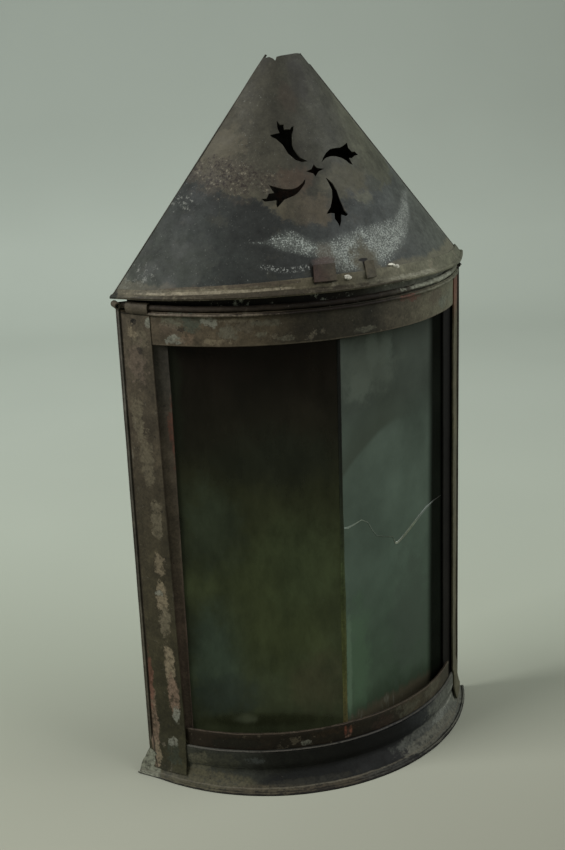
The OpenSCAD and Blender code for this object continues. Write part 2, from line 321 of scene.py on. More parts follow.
# %% The shared recipe
def worn(name, run, span=(-100, 100), axis="X", flecks=(0.1, 0.088, 0.062), much=0.5, patches=(), lines=(), streaks=0.0, dust=0.3, scratches=0.0, roughness=0.68, frame_of=None):
    """run: (place, colour) stops along the axis; patches: (centre, size, colour, strength, ragged);
    lines: (axis, place, half width, colour, strength); places and sizes in mm, in the
    body's frame, or in the frame with that corner and turn."""
    paint = Finish(name, roughness, Specular_IOR_Level=0.16)
    if frame_of:
        paint.place = paint.moved(*frame_of)
    low, high = span
    stops = [((place - low) / (high - low), colour) for place, colour in run]
    bent = add(paint.tree, "ShaderNodeVectorMath", {
        0: paint.place, 1: paint.spread(paint.noise(14, 3), 0, 1, -0.012, 0.012, soft=False)}, operation="ADD").outputs[0]
    colour = paint.ramp(paint.axis(axis, low, high, bent), stops)
    cloud, blotch, grain = paint.noise(22, 5, 0.6), paint.noise(5.5, 6, 0.72), paint.noise(1.2, 3, 0.6)
    colour = paint.shade(paint.shade(colour, cloud, 0.6, 1.4), blotch, 0.64, 1.36)
    if streaks:
        stretched = paint.moved(size=(1, 1, 14))
        colour = paint.shade(colour, paint.noise(5, 4, 0.6, place=stretched), 1 - streaks, 1 + streaks)
    bare = paint.spread(paint.noise(9, 8, 0.76), 0.66 - 0.09 * much, 0.71 - 0.09 * much)
    colour = paint.blend(colour, flecks, paint.both(bare, 0.75))
    height = paint.sums("ADD", paint.sums("MULTIPLY", grain, 0.6), paint.sums("MULTIPLY", bare, -0.35))
    crumbly = paint.rough(2.6)
    broken = paint.spread(crumbly, -0.13, 0.0, 0.35, 1.0)
    for centre, size, tone, strength, ragged in patches:
        mask = paint.both(paint.both(paint.spot(centre, size, ragged), strength), broken)
        tone = paint.shade(tone, paint.sums("ADD", crumbly, 0.5), 0.6, 1.4)
        colour = paint.blend(colour, tone, mask)
        height = paint.sums("SUBTRACT", height, paint.sums("MULTIPLY", mask, 0.3))
    if scratches:
        thin = paint.noise(1.6, 4, 0.6, place=paint.moved(turn=(0, 5, 0), size=(1, 1, 9)))
        thin = paint.both(paint.spread(thin, 0.62, 0.7), paint.spread(blotch, 0.45, 0.6))
        colour = paint.blend(colour, (0.12, 0.11, 0.085), paint.both(thin, scratches))
    for which, place, half, tone, strength in lines:
        colour = paint.blend(colour, tone, paint.both(paint.line(which, place, half), strength))
    colour = paint.shade(colour, grain, 0.74, 1.26)
    pale = paint.both(paint.spread(paint.noise(0.9, 2, 0.5), 0.66, 0.74), paint.spread(paint.noise(12, 3), 0.5, 0.62))
    colour = paint.blend(colour, (0.15, 0.145, 0.118), paint.both(pale, dust))
    pits = paint.spread(paint.noise(1.9, 4, 0.7), 0.37, 0.31)
    colour = paint.blend(colour, (0.007, 0.006, 0.005), paint.both(pits, 0.75))
    return paint.done(colour, paint.sums("SUBTRACT", height, paint.sums("MULTIPLY", pits, 0.4)), 0.16, paint.spread(cloud, 0.3, 0.7, roughness - 0.1, roughness + 0.12))

# %% [markdown]
# ## The bend: one tree for every bowed sheet
#
# The tinsmith cuts a strip flat and rolls it round the bow. The tree below does the same to
# a flat blank: X runs across the bow from -1 to 1, Y is the distance off the sheet's line and
# Z the height. Each height has its own bow, from the low one to the high one, so the same
# tree makes the upright bands, the flared foot and the half cone. A little noise dents it.

# %% Build the tree
bend = bpy.data.node_groups.new("bend round the bow", "GeometryNodeTree")
bend.interface.new_socket("Blank", in_out="INPUT", socket_type="NodeSocketGeometry")
for label, kind, value in (
        ("Low Half Width", "Float", 0.0942), ("Low Depth", "Float", 0.053),
        ("High Half Width", "Float", 0.0942), ("High Depth", "Float", 0.053), ("Height", "Float", 1.0),
        ("Dent Depth", "Float", 0.0003), ("Dent Size", "Float", 0.03), ("Waver", "Float", 0.0002), ("Seed", "Int", 1),
        ("Lean", "Vector", (0.0, 0.0, 0.0)), ("Shift", "Vector", (0.0, 0.0, 0.0)), ("Finish", "Material", None)):
    socket = bend.interface.new_socket(label, in_out="INPUT", socket_type="NodeSocket" + kind)
    if value is not None:
        socket.default_value = value
bend.interface.new_socket("Sheet", in_out="OUTPUT", socket_type="NodeSocketGeometry")
given = add(bend, "NodeGroupInput").outputs


def work_out(operation, a, b=0.0):
    return add(bend, "ShaderNodeMath", {0: a, 1: b}, operation=operation).outputs[0]


def vectors(operation, a, b=None):
    return add(bend, "ShaderNodeVectorMath", {0: a} if b is None else {0: a, 1: b}, operation=operation).outputs[0]


parts = add(bend, "ShaderNodeSeparateXYZ", {0: add(bend, "GeometryNodeInputPosition").outputs[0]}).outputs


def bow_point(rise):
    """Point on the sheet's line at the blank's height plus a rise, and its angle round the bow."""
    high = work_out("ADD", parts[2], rise)
    share = work_out("MINIMUM", work_out("DIVIDE", high, given["Height"]), 1.0)
    wide = work_out("ADD", given["Low Half Width"], work_out("MULTIPLY", share, work_out("SUBTRACT", given["High Half Width"], given["Low Half Width"])))
    deep = work_out("ADD", given["Low Depth"], work_out("MULTIPLY", share, work_out("SUBTRACT", given["High Depth"], given["Low Depth"])))
    squares = work_out("ADD", work_out("MULTIPLY", wide, wide), work_out("MULTIPLY", deep, deep))
    radius = work_out("DIVIDE", squares, work_out("MULTIPLY", deep, 2.0))
    angle = work_out("MULTIPLY", parts[0], work_out("ARCSINE", work_out("DIVIDE", wide, radius)))
    across = work_out("MULTIPLY", radius, work_out("SINE", angle))
    back = work_out("SUBTRACT", work_out("SUBTRACT", radius, deep), work_out("MULTIPLY", radius, work_out("COSINE", angle)))
    return add(bend, "ShaderNodeCombineXYZ", {0: across, 1: back, 2: high}).outputs[0], angle


on_line, angle = bow_point(0.0)
above, _ = bow_point(0.001)
along = add(bend, "ShaderNodeCombineXYZ", {0: work_out("COSINE", angle), 1: work_out("SINE", angle)}).outputs[0]
outward = vectors("NORMALIZE", vectors("CROSS_PRODUCT", along, vectors("SUBTRACT", above, on_line)))
fineness = work_out("DIVIDE", 1.0, given["Dent Size"])


def dents(place, shift):
    clouds = add(bend, "ShaderNodeTexNoise", {"Vector": place, "W": work_out("ADD", given["Seed"], shift), "Scale": fineness, "Detail": 2.0}, noise_dimensions="4D")
    return work_out("MULTIPLY", work_out("SUBTRACT", clouds.outputs[0], 0.5), 2.0)


off = work_out("ADD", parts[1], work_out("MULTIPLY", dents(on_line, 0.0), given["Dent Depth"]))
plan = vectors("MULTIPLY", on_line, (1.0, 1.0, 0.0))
lift = add(bend, "ShaderNodeCombineXYZ", {2: work_out("MULTIPLY", dents(plan, 7.3), given["Waver"])}).outputs[0]
moved = vectors("ADD", vectors("ADD", on_line, lift), add(bend, "ShaderNodeVectorMath", {0: outward, 3: off}, operation="SCALE").outputs[0])
bent = add(bend, "GeometryNodeSetPosition", {"Geometry": given["Blank"], "Position": moved})
placed = add(bend, "GeometryNodeTransform", {"Geometry": bent.outputs[0], "Translation": given["Shift"], "Rotation": given["Lean"]})
real = add(bend, "GeometryNodeRealizeInstances", {0: placed.outputs[0]})
coated = add(bend, "GeometryNodeSetMaterial", {"Geometry": real.outputs[0], "Material": given["Finish"]})
add(bend, "NodeGroupOutput", {0: coated.outputs[0]})
bend_inputs = {item.name: item.identifier for item in bend.interface.items_tree if item.in_out == "INPUT"}
print("bend:", len(bend.nodes), "nodes")

# %% [markdown]
# ## Using the bend
#
# A blank is the sheet's outline, repeated across the bow. The modifier's inputs are set by
# their identifiers, the result is turned into a plain mesh, and the modifier goes away.

# %% Sizes and the sheet maker
BOW = (94.2, 53.0)
BOW_R = (BOW[0] ** 2 + BOW[1] ** 2) / (2 * BOW[1])
HALF_ANGLE = math.degrees(math.asin(BOW[0] / BOW_R))
EAVE_Z, LEAN = 258.7, 3.6
CONE = (96.1, 55.9)
APEX = 118.0


def freeze(piece):
    """The evaluated object as a plain mesh."""
    mesh = bpy.data.meshes.new_from_object(piece.evaluated_get(bpy.context.evaluated_depsgraph_get()))
    piece.modifiers.clear()
    piece.data = mesh
    return piece


def sheet(name, outline, finish, start=-1.0, end=1.0, pitch=2.5, low=BOW, high=None, height=1000.0, dent=0.25, size=30.0, waver=0.15, seed=1, roof=False):
    """A bowed sheet from its outline in mm, between two shares of the bow's half angle;
    where the sheet tapers, end is the share at its foot and the share at height 250."""
    foot_end, head_end = end if isinstance(end, tuple) else (end, end)
    count = max(2, round((foot_end - start) * math.radians(HALF_ANGLE) * BOW_R / pitch))
    piece = loft(name, [[(start + (foot_end + (head_end - foot_end) * p[1] / 250 - start) * i / count, p[0] * MM, p[1] * MM) for p in outline] for i in range(count + 1)])
    high = high or low
    modifier = piece.modifiers.new("bend", "NODES")
    modifier.node_group = bend
    values = {"Low Half Width": low[0] * MM, "Low Depth": low[1] * MM, "High Half Width": high[0] * MM, "High Depth": high[1] * MM,
              "Height": height * MM, "Dent Depth": dent * MM, "Dent Size": size * MM, "Waver": waver * MM, "Seed": seed,
              "Lean": (math.radians(-LEAN) if roof else 0.0, 0.0, 0.0), "Shift": (0.0, back_y, EAVE_Z * MM if roof else 0.0), "Finish": finish}
    for label, value in values.items():
        modifier[bend_inputs[label]] = value
    return clean(freeze(piece))


def share(degrees):
    return degrees / HALF_ANGLE


print("bow radius", round(BOW_R, 1), "half angle", round(HALF_ANGLE, 1))

# %% [markdown]
# ## The finishes of the body
#
# The stiles are olive brown with tan and pink patches where the paint has gone, the top band
# is mottled at its left and dark in the middle, and the bottom band is dark slate, with dust
# and scratches at its right.

# %% Finishes: stiles and top band
TAN, CREAM, PINK, RUST, PALE, BLACK = (0.095, 0.082, 0.054), (0.14, 0.115, 0.075), (0.12, 0.084, 0.058), (0.1, 0.042, 0.028), (0.14, 0.142, 0.113), (0.005, 0.0045, 0.0035)
left_stile_paint = worn("olive paint on the left stile", [(0, (0.026, 0.0245, 0.0125)), (60, (0.024, 0.0215, 0.0108)), (130, (0.037, 0.031, 0.018)), (190, (0.045, 0.036, 0.0235)), (255, (0.052, 0.043, 0.029))], (0, 255), "Z", streaks=0.14, much=0.6, scratches=0.6, patches=[
    ((-86.2, 9.8, 103), (2.6, 4, 9), CREAM, 0.85, 0.9), ((-85.4, 9, 91), (2.8, 4, 8), TAN, 0.85, 0.8), ((-87.5, 11, 106), (2.6, 3, 1.4), PALE, 0.8, 0.9),
    ((-85.0, 8.2, 66), (2.6, 4, 11), CREAM, 0.95, 0.6), ((-84.2, 7.4, 49), (2.6, 4, 11), PINK, 0.95, 0.6), ((-83.5, 6.6, 37), (1.6, 3, 5), PALE, 0.9, 0.8),
    ((-92.4, 18.3, 30), (1.9, 4, 24), PINK, 0.8, 0.8), ((-92.6, 18.5, 56), (1.2, 3, 16), RUST, 0.6, 0.8), ((-91.8, 17.5, 12), (2, 3, 6), CREAM, 0.7, 0.8),
    ((-85.6, 9, 14), (3.6, 5, 6), (0.025, 0.031, 0.022), 0.6, 0.9), ((-85.8, 9.1, 21.6), (2.8, 3, 2.2), PALE, 0.7, 1.0),
    ((-88, 12, 238), (5, 5, 5), TAN, 0.6, 0.9), ((-89.3, 13.6, 245.5), (0.9, 2.0, 2.0), BLACK, 0.95, 1.2), ((-90.3, 14.6, 238), (0.7, 1.6, 1.6), BLACK, 0.8, 1.2), ((-84.2, 7.4, 246.5), (1.8, 2.4, 2.6), PALE, 0.8, 1.0),
    ((-89, 14, 226), (4.5, 5, 10), (0.085, 0.065, 0.048), 0.65, 1.3), ((-90, 15, 241), (2.6, 3, 3), CREAM, 0.6, 1.3), ((-87, 12, 232), (1.6, 2, 2), (0.012, 0.01, 0.008), 0.8, 1.2), ((-87.5, 12, 176), (3, 4, 14), TAN, 0.6, 1.0), ((-85.8, 9.6, 146), (2.6, 4, 10), TAN, 0.75, 1.0), ((-90.2, 15, 200), (2.4, 4, 12), TAN, 0.6, 1.0), ((-86, 9.8, 122), (2, 4, 6), CREAM, 0.7, 1.0)],
    lines=[("X", -93.2, 0.4, (0.02, 0.016, 0.011), 0.8), ("Z", 250.0, 0.4, BLACK, 0.85)])
right_stile_paint = worn("khaki paint on the right stile", [(0, (0.06, 0.057, 0.034)), (222, (0.064, 0.058, 0.034)), (238, (0.085, 0.042, 0.027)), (249, (0.09, 0.04, 0.026)), (253, (0.02, 0.021, 0.015))], (0, 256), "Z", much=0.3)
top_band_paint = worn("mottled paint on the top band", [(-94, (0.052, 0.041, 0.0265)), (-45, (0.058, 0.046, 0.029)), (-14, (0.0215, 0.0185, 0.012)), (14, (0.018, 0.0165, 0.011)), (28, (0.05, 0.044, 0.03)), (50, (0.066, 0.061, 0.041)), (70, (0.078, 0.077, 0.052)), (90, (0.082, 0.083, 0.057))], much=0.85, dust=0.4, patches=[
    ((-74.5, -3, 248), (5.5, 6, 4), (0.085, 0.083, 0.058), 0.8, 1.0), ((-67.8, -8, 247), (4.2, 5, 4.5), (0.045, 0.052, 0.038), 0.85, 0.8), ((-77, -1, 243), (5, 6, 3), (0.08, 0.06, 0.042), 0.6, 1.0),
    ((-75, -2, 238.8), (4.6, 4, 2), PALE, 0.8, 1.3), ((-58, -14, 238), (7, 6, 1.6), CREAM, 0.7, 1.3), ((-72, -6, 244), (1.4, 3, 1.6), (0.014, 0.01, 0.007), 0.8, 1.2), ((-50, -19, 248), (10, 8, 1.2), (0.11, 0.095, 0.066), 0.6, 1.2), ((-40, -23, 241), (3, 4, 1.4), (0.09, 0.085, 0.06), 0.7, 1.2), ((-69.7, -6.5, 239.4), (4.2, 4, 2.4), (0.1, 0.072, 0.047), 0.8, 0.9),
    ((-60.5, -13.5, 247.5), (3.6, 4, 2.6), PALE, 0.8, 1.0), ((-53, -18, 242.5), (5, 5, 3.6), (0.085, 0.08, 0.058), 0.75, 0.9), ((-46, -21, 245), (5, 5, 2.6), (0.07, 0.06, 0.042), 0.7, 0.9),
    ((-36, -24, 246.5), (6, 6, 1.6), (0.075, 0.072, 0.052), 0.6, 1.1), ((-28, -27, 238.5), (4, 5, 1.2), (0.085, 0.08, 0.058), 0.7, 1.0), ((12, -30, 238.4), (6, 5, 1.4), (0.07, 0.068, 0.05), 0.7, 1.0),
    ((42, -22.7, 249.6), (7, 6, 2), (0.07, 0.034, 0.024), 0.75, 1.0), ((62, -13, 246), (8, 8, 4), (0.052, 0.04, 0.03), 0.5, 0.8), ((68.7, -7.3, 241), (5, 6, 3), (0.085, 0.092, 0.07), 0.75, 1.0), ((78, 0, 243), (5, 6, 4), (0.085, 0.09, 0.066), 0.65, 1.0)],
    lines=[("Z", 235.9, 0.5, (0.08, 0.066, 0.046), 0.55), ("Z", 250.4, 0.5, (0.07, 0.05, 0.038), 0.5)])
rim_paint = worn("brown paint on the wired rim", dust=0.5, run= [(-95, (0.036, 0.028, 0.02)), (-60, (0.032, 0.0245, 0.018)), (-30, (0.018, 0.013, 0.009)), (-5, (0.0105, 0.0072, 0.005)), (20, (0.013, 0.0095, 0.0065)), (38, (0.05, 0.046, 0.033)), (60, (0.1, 0.1, 0.072)), (95, (0.075, 0.078, 0.055))], much=0.7, flecks=(0.085, 0.066, 0.05), scratches=0.3, patches=[
    ((-62, -8, 250.5), (34, 30, 0.9), (0.12, 0.1, 0.074), 0.85, 0.6), ((38, -24, 251), (6, 8, 0.8), RUST, 0.8, 0.8), ((60, -12, 254.2), (26, 22, 1.6), (0.2, 0.21, 0.165), 0.85, 1.2), ((48, -20, 252.4), (16, 12, 0.8), BLACK, 0.7, 1.1)])
print("four finishes for the upper body")

# %% Finishes: bottom band and foot
SLATE = [(-94, (0.03, 0.03, 0.021)), (-60, (0.024, 0.0255, 0.0195)), (-42, (0.0075, 0.0078, 0.0055)), (0, (0.0026, 0.0026, 0.0019)), (32, (0.0045, 0.005, 0.0048)), (52, (0.018, 0.0205, 0.0205)), (68, (0.047, 0.05, 0.043)), (95, (0.066, 0.07, 0.056))]
GREY_DUST = (0.088, 0.093, 0.078)
# The lighter line along the top of the hem is wear and a painted highlight, where the edge catches the light.
bottom_band_paint = worn("slate paint on the bottom band", SLATE, flecks=(0.032, 0.032, 0.026), much=0.2, dust=0.15, patches=[((84, 0, 16), (12, 12, 4), (0.09, 0.094, 0.076), 0.6, 0.8), ((74, -8, 17.5), (10, 10, 1.6), (0.06, 0.064, 0.055), 0.5, 0.9)],
    lines=[("Z", 20.5, 0.3, (0.055, 0.05, 0.041), 0.8)])
# Painted shade: the first patch darkens the front of the flare, which faces up and would catch more light, and the
# black line at height 0.5 darkens the turned edge where it meets the floor.
foot_paint_and_shade = worn("slate paint, tan dirt and painted shade on the foot", SLATE, flecks=(0.045, 0.042, 0.032), much=0.15, dust=0.1, patches=[
    ((0, -38, 3), (62, 34, 6.6), (0.0042, 0.0047, 0.0042), 0.9, 0.12), ((-75, -2, 11), (6, 8, 7.5), (0.06, 0.057, 0.037), 0.8, 0.7), ((-52.3, -19, 15.4), (5.5, 4, 1.6), (0.042, 0.047, 0.043), 0.5, 1.2), ((-66, -10, 13), (10, 9, 6), (0.028, 0.028, 0.018), 0.7, 0.6),
    ((-76, -4, 2.8), (32, 26, 5.2), (0.047, 0.043, 0.025), 0.95, 0.12), ((-46, -26, 1.0), (26, 16, 2.2), (0.04, 0.034, 0.021), 0.95, 0.15), ((-12, -40, 0.6), (32, 12, 1.7), (0.034, 0.028, 0.018), 0.9, 0.2), ((-30, -34, 3.4), (30, 14, 1.6), (0.014, 0.0135, 0.0095), 0.7, 0.5),
    ((20, -38, 0.7), (20, 10, 1.4), (0.03, 0.03, 0.025), 0.8, 0.4), ((84, -6, 14), (34, 26, 13), (0.075, 0.08, 0.066), 0.8, 0.35), ((58, -22, 6), (34, 20, 4), (0.06, 0.063, 0.053), 0.8, 0.35),
    ((60, -20, 3), (36, 22, 2.6), (0.08, 0.079, 0.06), 0.75, 0.4), ((92, 6, 9), (12, 18, 8), (0.1, 0.104, 0.08), 0.75, 0.5), ((-98, 16, 7), (6.5, 9, 9), (0.15, 0.155, 0.115), 0.85, 0.4), ((87, 1, 13.5), (11, 14, 0.9), (0.16, 0.165, 0.14), 0.75, 0.7), ((80, -4, 8), (14, 14, 0.7), (0.15, 0.155, 0.13), 0.7, 0.7), ((92, 6, 5), (9, 14, 0.7), (0.15, 0.15, 0.12), 0.7, 0.7), ((72, -10, 11), (10, 10, 0.6), (0.11, 0.115, 0.1), 0.7, 0.8), ((68, -13, 7), (12, 10, 2.2), (0.125, 0.132, 0.114), 0.6, 0.7)],
    lines=[("Z", 0.5, 0.6, BLACK, 0.95), ("Z", 1.9, 0.3, (0.085, 0.077, 0.055), 0.6)])
print("two finishes for the lower body")

# %% [markdown]
# ## Foot, bands and stiles
#
# Seen from the side, each sheet is a thin line: the foot a flare with a turned edge, the
# bands upright strips whose edges are folded back on themselves, which stiffens them and
# takes the sharpness off. The stiles lap over the bands and run down over the foot.

# %% Foot and bottom band
foot_line = [(-0.9, 1.6), (-0.55, 0.85), (-0.95, 0.6), (-1.5, 1.2), (-2.1, 2.4), (-2.5, 4.0), (-2.5, 5.6), (-1.9, 7.4), (-0.9, 9.4), (-0.2, 11.4), (0.1, 13.5), (0.12, 19.7)]
foot = sheet("flared_foot", section(foot_line, 0.6, 1.2), foot_paint_and_shade, -0.998, 0.998, low=(100.4, 63.8), high=(93.8, 52.6), height=9.5, dent=0.3, size=22, waver=0.0, seed=3)
for v in foot.data.vertices:
    behind, z = (v.co.y - back_y) / MM, v.co.z / MM
    if v.co.x < 0 and behind > -13 and z < 15:
        v.co.x -= 5.0 * ((behind + 13) / 13) ** 1.6 * math.sin(math.pi * (z + 3) / 18) * MM
    v.co.z = max(v.co.z, 0.0001)
carry(clean(foot), "body", nodes=["foot_rim"])
hem_up = [(-1.7, 19.1), (-1.7, 20.2), (-1.0, 20.7), (-0.5, 20.1), (-0.75, 18.5), (-0.9, 12.0), (-0.75, 10.6)]
bottom = sheet("bottom_band_sheet", section(hem_up, 0.6, 1.5), bottom_band_paint, -0.985, 0.985, dent=0.3, size=26, waver=0.25, seed=4)
carry(bottom, "body", nodes=["bottom_band"])

# %% Top band and rim
hem_down = [(-1.9, 238.6), (-2.0, 236.4), (-1.5, 235.6), (-0.95, 235.9), (-0.9, 237.5), (-0.85, 250.2), (-0.2, 251.6)]
band = sheet("top_band_sheet", section(hem_down, 0.7, 2.0), top_band_paint, -0.985, 0.985, dent=0.35, size=24, waver=0.2, seed=5)
carry(band, "body", nodes=["top_band"])
circle = [(math.cos(a * math.pi / 6), math.sin(a * math.pi / 6)) for a in range(12)]
rim_outline = [(-1.35 + 1.45 * c, 253.45 + 1.5 * s) for c, s in circle]
rim = sheet("wired_rim", rim_outline, rim_paint, -0.998, 0.998, pitch=1.2, dent=0.55, size=7, waver=0.45, seed=6)
under_roll = sheet("under_roll", [(0.1 + 0.75 * c, 250.6 + 0.7 * s) for c, s in circle], rim_paint, -0.84, 0.985, pitch=1.2, dent=0.45, size=6, waver=0.4, seed=7)
carry(join("wired_rim", [rim, under_roll]), "body", nodes=["top_rim"])

# %% Stiles
stile_line = [(2.2, 4.2), (1.6, 6.0), (1.0, 8.6), (0.55, 11.5), (0.45, 19), (-0.4, 23), (-0.4, 60), (-0.4, 250.6)]
head_line = [(-0.35, 249.9), (0.4, 250.6), (1.05, 251.8), (1.2, 253.3), (0.8, 254.7), (-0.3, 255.6), (-1.6, 255.3)]
strip = sheet("strip", section(stile_line, 0.8, 4.0), left_stile_paint, -0.998, (share(-46.7), share(-49.1)), pitch=2.2, dent=0.4, size=26, waver=0.0, seed=8)
head = sheet("head", section(head_line, 0.7, 0.7), left_stile_paint, share(-55.6), share(-49.2), pitch=1.2, dent=0.5, size=7, waver=0.4, seed=10)
carry(join("left_stile_sheet", [strip, head]), "body", nodes=["left_stile"])
right_piece = sheet("right_stile_sheet", section(stile_line, 0.8, 4.0), right_stile_paint, share(48.8), 1.002, pitch=2.2, dent=0.4, size=26, waver=0.0, seed=9)
carry(right_piece, "body", nodes=["right_stile"])

# %% The curls at the upper corners
turns = [(math.cos(a) * (2.1 - 0.17 * a), math.sin(a) * (2.1 - 0.17 * a)) for a in [i * math.pi / 6 for i in range(15)]]
curl_outline = section(turns, 0.6, 1.0)
for name, x, z, size, finish in (("left_corner_curl", -94.9, 253.4, 0.85, left_stile_paint), ("right_corner_curl", 92.2, 253.4, 0.6, right_stile_paint)):
    rings = [[(x + size * u + 0.1 * (y + 8) * (1 if x > 0 else -1), y, z + size * v + 0.12 * (y + 8)) for u, v in curl_outline] for y in (-5, -3.4, -1.8, -0.2)]
    curl = loft(name, [[(px * MM, back_y + py * MM, pz * MM) for px, py, pz in ring] for ring in rings])
    carry(clean(curl), "body", finish)

# %% [markdown]
# ## The flat back
#
# One flat sheet closes the back. Its two side edges are folded round the stiles, which shows
# from the front as a narrow lip with a dark seam beside it.

# %% Back sheet with its lips
back_paint = worn("dark paint on the back", [(0, (0.05, 0.044, 0.03)), (120, (0.05, 0.046, 0.034)), (255, (0.05, 0.046, 0.038))], (0, 255), "Z", streaks=0.16, much=0.7, scratches=0.5, patches=[
    ((-52, 22, 38), (18, 4, 14), TAN, 0.6, 1.0), ((60, 22, 90), (12, 4, 26), RUST, 0.5, 1.1), ((20, 22, 226), (26, 4, 10), TAN, 0.5, 1.1), ((-70, 22, 190), (9, 4, 22), PINK, 0.5, 1.1), ((0, 22, 4), (90, 4, 5), CREAM, 0.5, 1.1), ((10, 24, 300), (16, 12, 12), RUST, 0.4, 1.1)])


def dented(x, z, depth=0.35, size=40):
    return depth * noise.noise(Vector((x / size, 3.1, z / size)))


def flat_sheet(name, width, low, high, front, rear, pitch=6.0):
    """Upright flat sheet with faint dents, from side to side."""
    rows = fill([(0, low), (0, high)], pitch)
    rings = []
    for x in [-width + 2 * width * i / 32 for i in range(33)]:
        faces = [(front, p.y) for p in rows] + [(rear, p.y) for p in reversed(rows)]
        rings.append([(x * MM, back_y + (y - abs(dented(x, z))) * MM, z * MM) for y, z in faces])
    return loft(name, rings)


plate = flat_sheet("plate", 94.9, 0, 255, -0.8, 0)
lips = [sheet("lip", section([(0.4, 5.0), (0.4, 252)], 0.8, 8), back_paint, a, b, pitch=0.9, dent=0.25, size=20, waver=0, seed=12) for a, b in ((-1.002, -0.986), (0.985, 0.996))]
carry(join("back_sheet", [plate, *lips]), "body", back_paint, ["back_plate"])

# %% [markdown]
# ## The roof's finish
#
# The cone is the showpiece. Its lower part is slate, its upper part grey olive to tan, and
# the border between them wanders. A white bloom lies in a band above the tabs and runs up
# to the right, a tan crust sits at the left of the border, and the foot is khaki with dust.
# The border and the bloom are curves over the cone's width, read in the roof's own frame.

# %% Paint the cone
roof_paint = Finish("slate, tan and painted shade on the cone", 0.62, Specular_IOR_Level=0.18)
roof_place = roof_paint.moved((0, back_y / MM, EAVE_Z), (-LEAN, 0, 0))
across = roof_paint.axis("X", -100, 100, roof_place)
height_at = roof_paint.axis("Z", 0, 120, roof_place)


def along_cone(points, span=120.0):
    """Height curve from (x, height) points in mm."""
    return roof_paint.curve(across, [((x + 100) / 200, h / span) for x, h in points])


ragged = roof_paint.noise(9, 7, 0.62)
fine = roof_paint.noise(1.3, 3, 0.6)
wander = roof_paint.sums("MULTIPLY", roof_paint.sums("SUBTRACT", ragged, 0.5), 0.16)
border = along_cone([(-100, 66), (-62, 58), (-50, 52), (-43, 45), (-37, 42), (-29, 38), (-23, 33), (-14, 28), (-3, 30), (5, 35), (12, 40), (22, 41), (33, 38), (45, 44), (60, 56), (100, 66)])
jagged = roof_paint.sums("ADD", wander, roof_paint.sums("MULTIPLY", roof_paint.rough(3.0), 0.09))
above_border = roof_paint.spread(roof_paint.sums("ADD", roof_paint.sums("SUBTRACT", height_at, border), jagged), -0.008, 0.014)
# Both grounds are painted darkest where the cone faces the front and lighter towards its sides, most at the right:
# painted shade and painted light from the side lamps, over the slate and olive paint.
slate = roof_paint.ramp(across, [(0.04, (0.03, 0.0335, 0.026)), (0.2, (0.0185, 0.0218, 0.0188)), (0.33, (0.0135, 0.0147, 0.0133)), (0.5, (0.028, 0.031, 0.0295)), (0.66, (0.048, 0.054, 0.0505)), (0.88, (0.06, 0.067, 0.055))])
slate = roof_paint.shade(roof_paint.shade(slate, roof_paint.noise(16, 7, 0.7), 0.6, 1.4), roof_paint.noise(4, 5, 0.7), 0.75, 1.25)
slate = roof_paint.blend(slate, (0.036, 0.036, 0.027), roof_paint.spread(roof_paint.noise(11, 8, 0.75), 0.55, 0.66, 0.0, 0.5))
upper = roof_paint.ramp(across, [(0.2, (0.062, 0.057, 0.036)), (0.36, (0.044, 0.041, 0.029)), (0.46, (0.031, 0.0295, 0.0215)), (0.56, (0.044, 0.045, 0.035)), (0.66, (0.06, 0.062, 0.043)), (0.8, (0.058, 0.062, 0.044))])
upper = roof_paint.shade(roof_paint.shade(upper, roof_paint.noise(20, 7, 0.64), 0.66, 1.34), roof_paint.noise(5, 6, 0.7), 0.78, 1.22)
sheen = roof_paint.noise(6, 3, 0.5, place=roof_paint.moved(size=(1, 1, 9), place=roof_place))
upper = roof_paint.shade(upper, sheen, 0.8, 1.2)
roof_colour_and_shade = roof_paint.shade(roof_paint.blend(slate, upper, above_border), fine, 0.8, 1.2)
print("cone: border and two grounds")

# %% Patches and crust on the cone
# The dark patches up the middle of the cone, centred at heights 20, 84 and 92, are painted shade and part of its dark
# front.
for centre, size, tone, strength, rough in (
        ((-38, -8, 66), (11, 12, 11), (0.085, 0.075, 0.052), 0.5, 0.9),
        ((-12, -32, 48), (9, 8, 6), (0.06, 0.04, 0.028), 0.55, 0.8),
        ((-8, -38, 34), (13, 8, 7), (0.07, 0.058, 0.04), 0.75, 0.7),
        ((-20, -38, 36), (5, 6, 5), (0.078, 0.067, 0.044), 0.6, 0.9),
        ((17, -34, 46), (15, 9, 8), (0.078, 0.073, 0.05), 0.6, 0.7),
        ((23, -34, 37), (6, 8, 3), (0.1, 0.1, 0.07), 0.6, 0.9),
        ((31, -26, 42), (6, 8, 5), (0.04, 0.045, 0.04), 0.7, 0.7),
        ((-5, -12, 84), (5, 8, 8), (0.04, 0.032, 0.024), 0.6, 0.5),
        ((2, -12, 92), (5, 8, 12), (0.026, 0.025, 0.022), 0.6, 0.5),
        ((-16, -30, 20), (7, 12, 22), (0.011, 0.012, 0.0105), 0.5, 0.5),
        ((-64, -22, 14), (10, 14, 12), (0.036, 0.04, 0.032), 0.4, 0.8)):
    mask = roof_paint.both(roof_paint.spot(centre, size, rough, 6, 0.3, place=roof_place), strength)
    roof_colour_and_shade = roof_paint.blend(roof_colour_and_shade, roof_paint.shade(tone, roof_paint.sums("ADD", roof_paint.rough(3.0), 0.5), 0.65, 1.35), mask)
crumbs = roof_paint.noise(1.5, 4, 0.7)
crust = roof_paint.spot((-40, -16, 52), (19, 20, 8.5), 0.9, 6, 0.5, turn=(0, 14, 0), place=roof_place)
roof_colour_and_shade = roof_paint.blend(roof_colour_and_shade, (0.047, 0.04, 0.029), roof_paint.both(crust, 0.8))
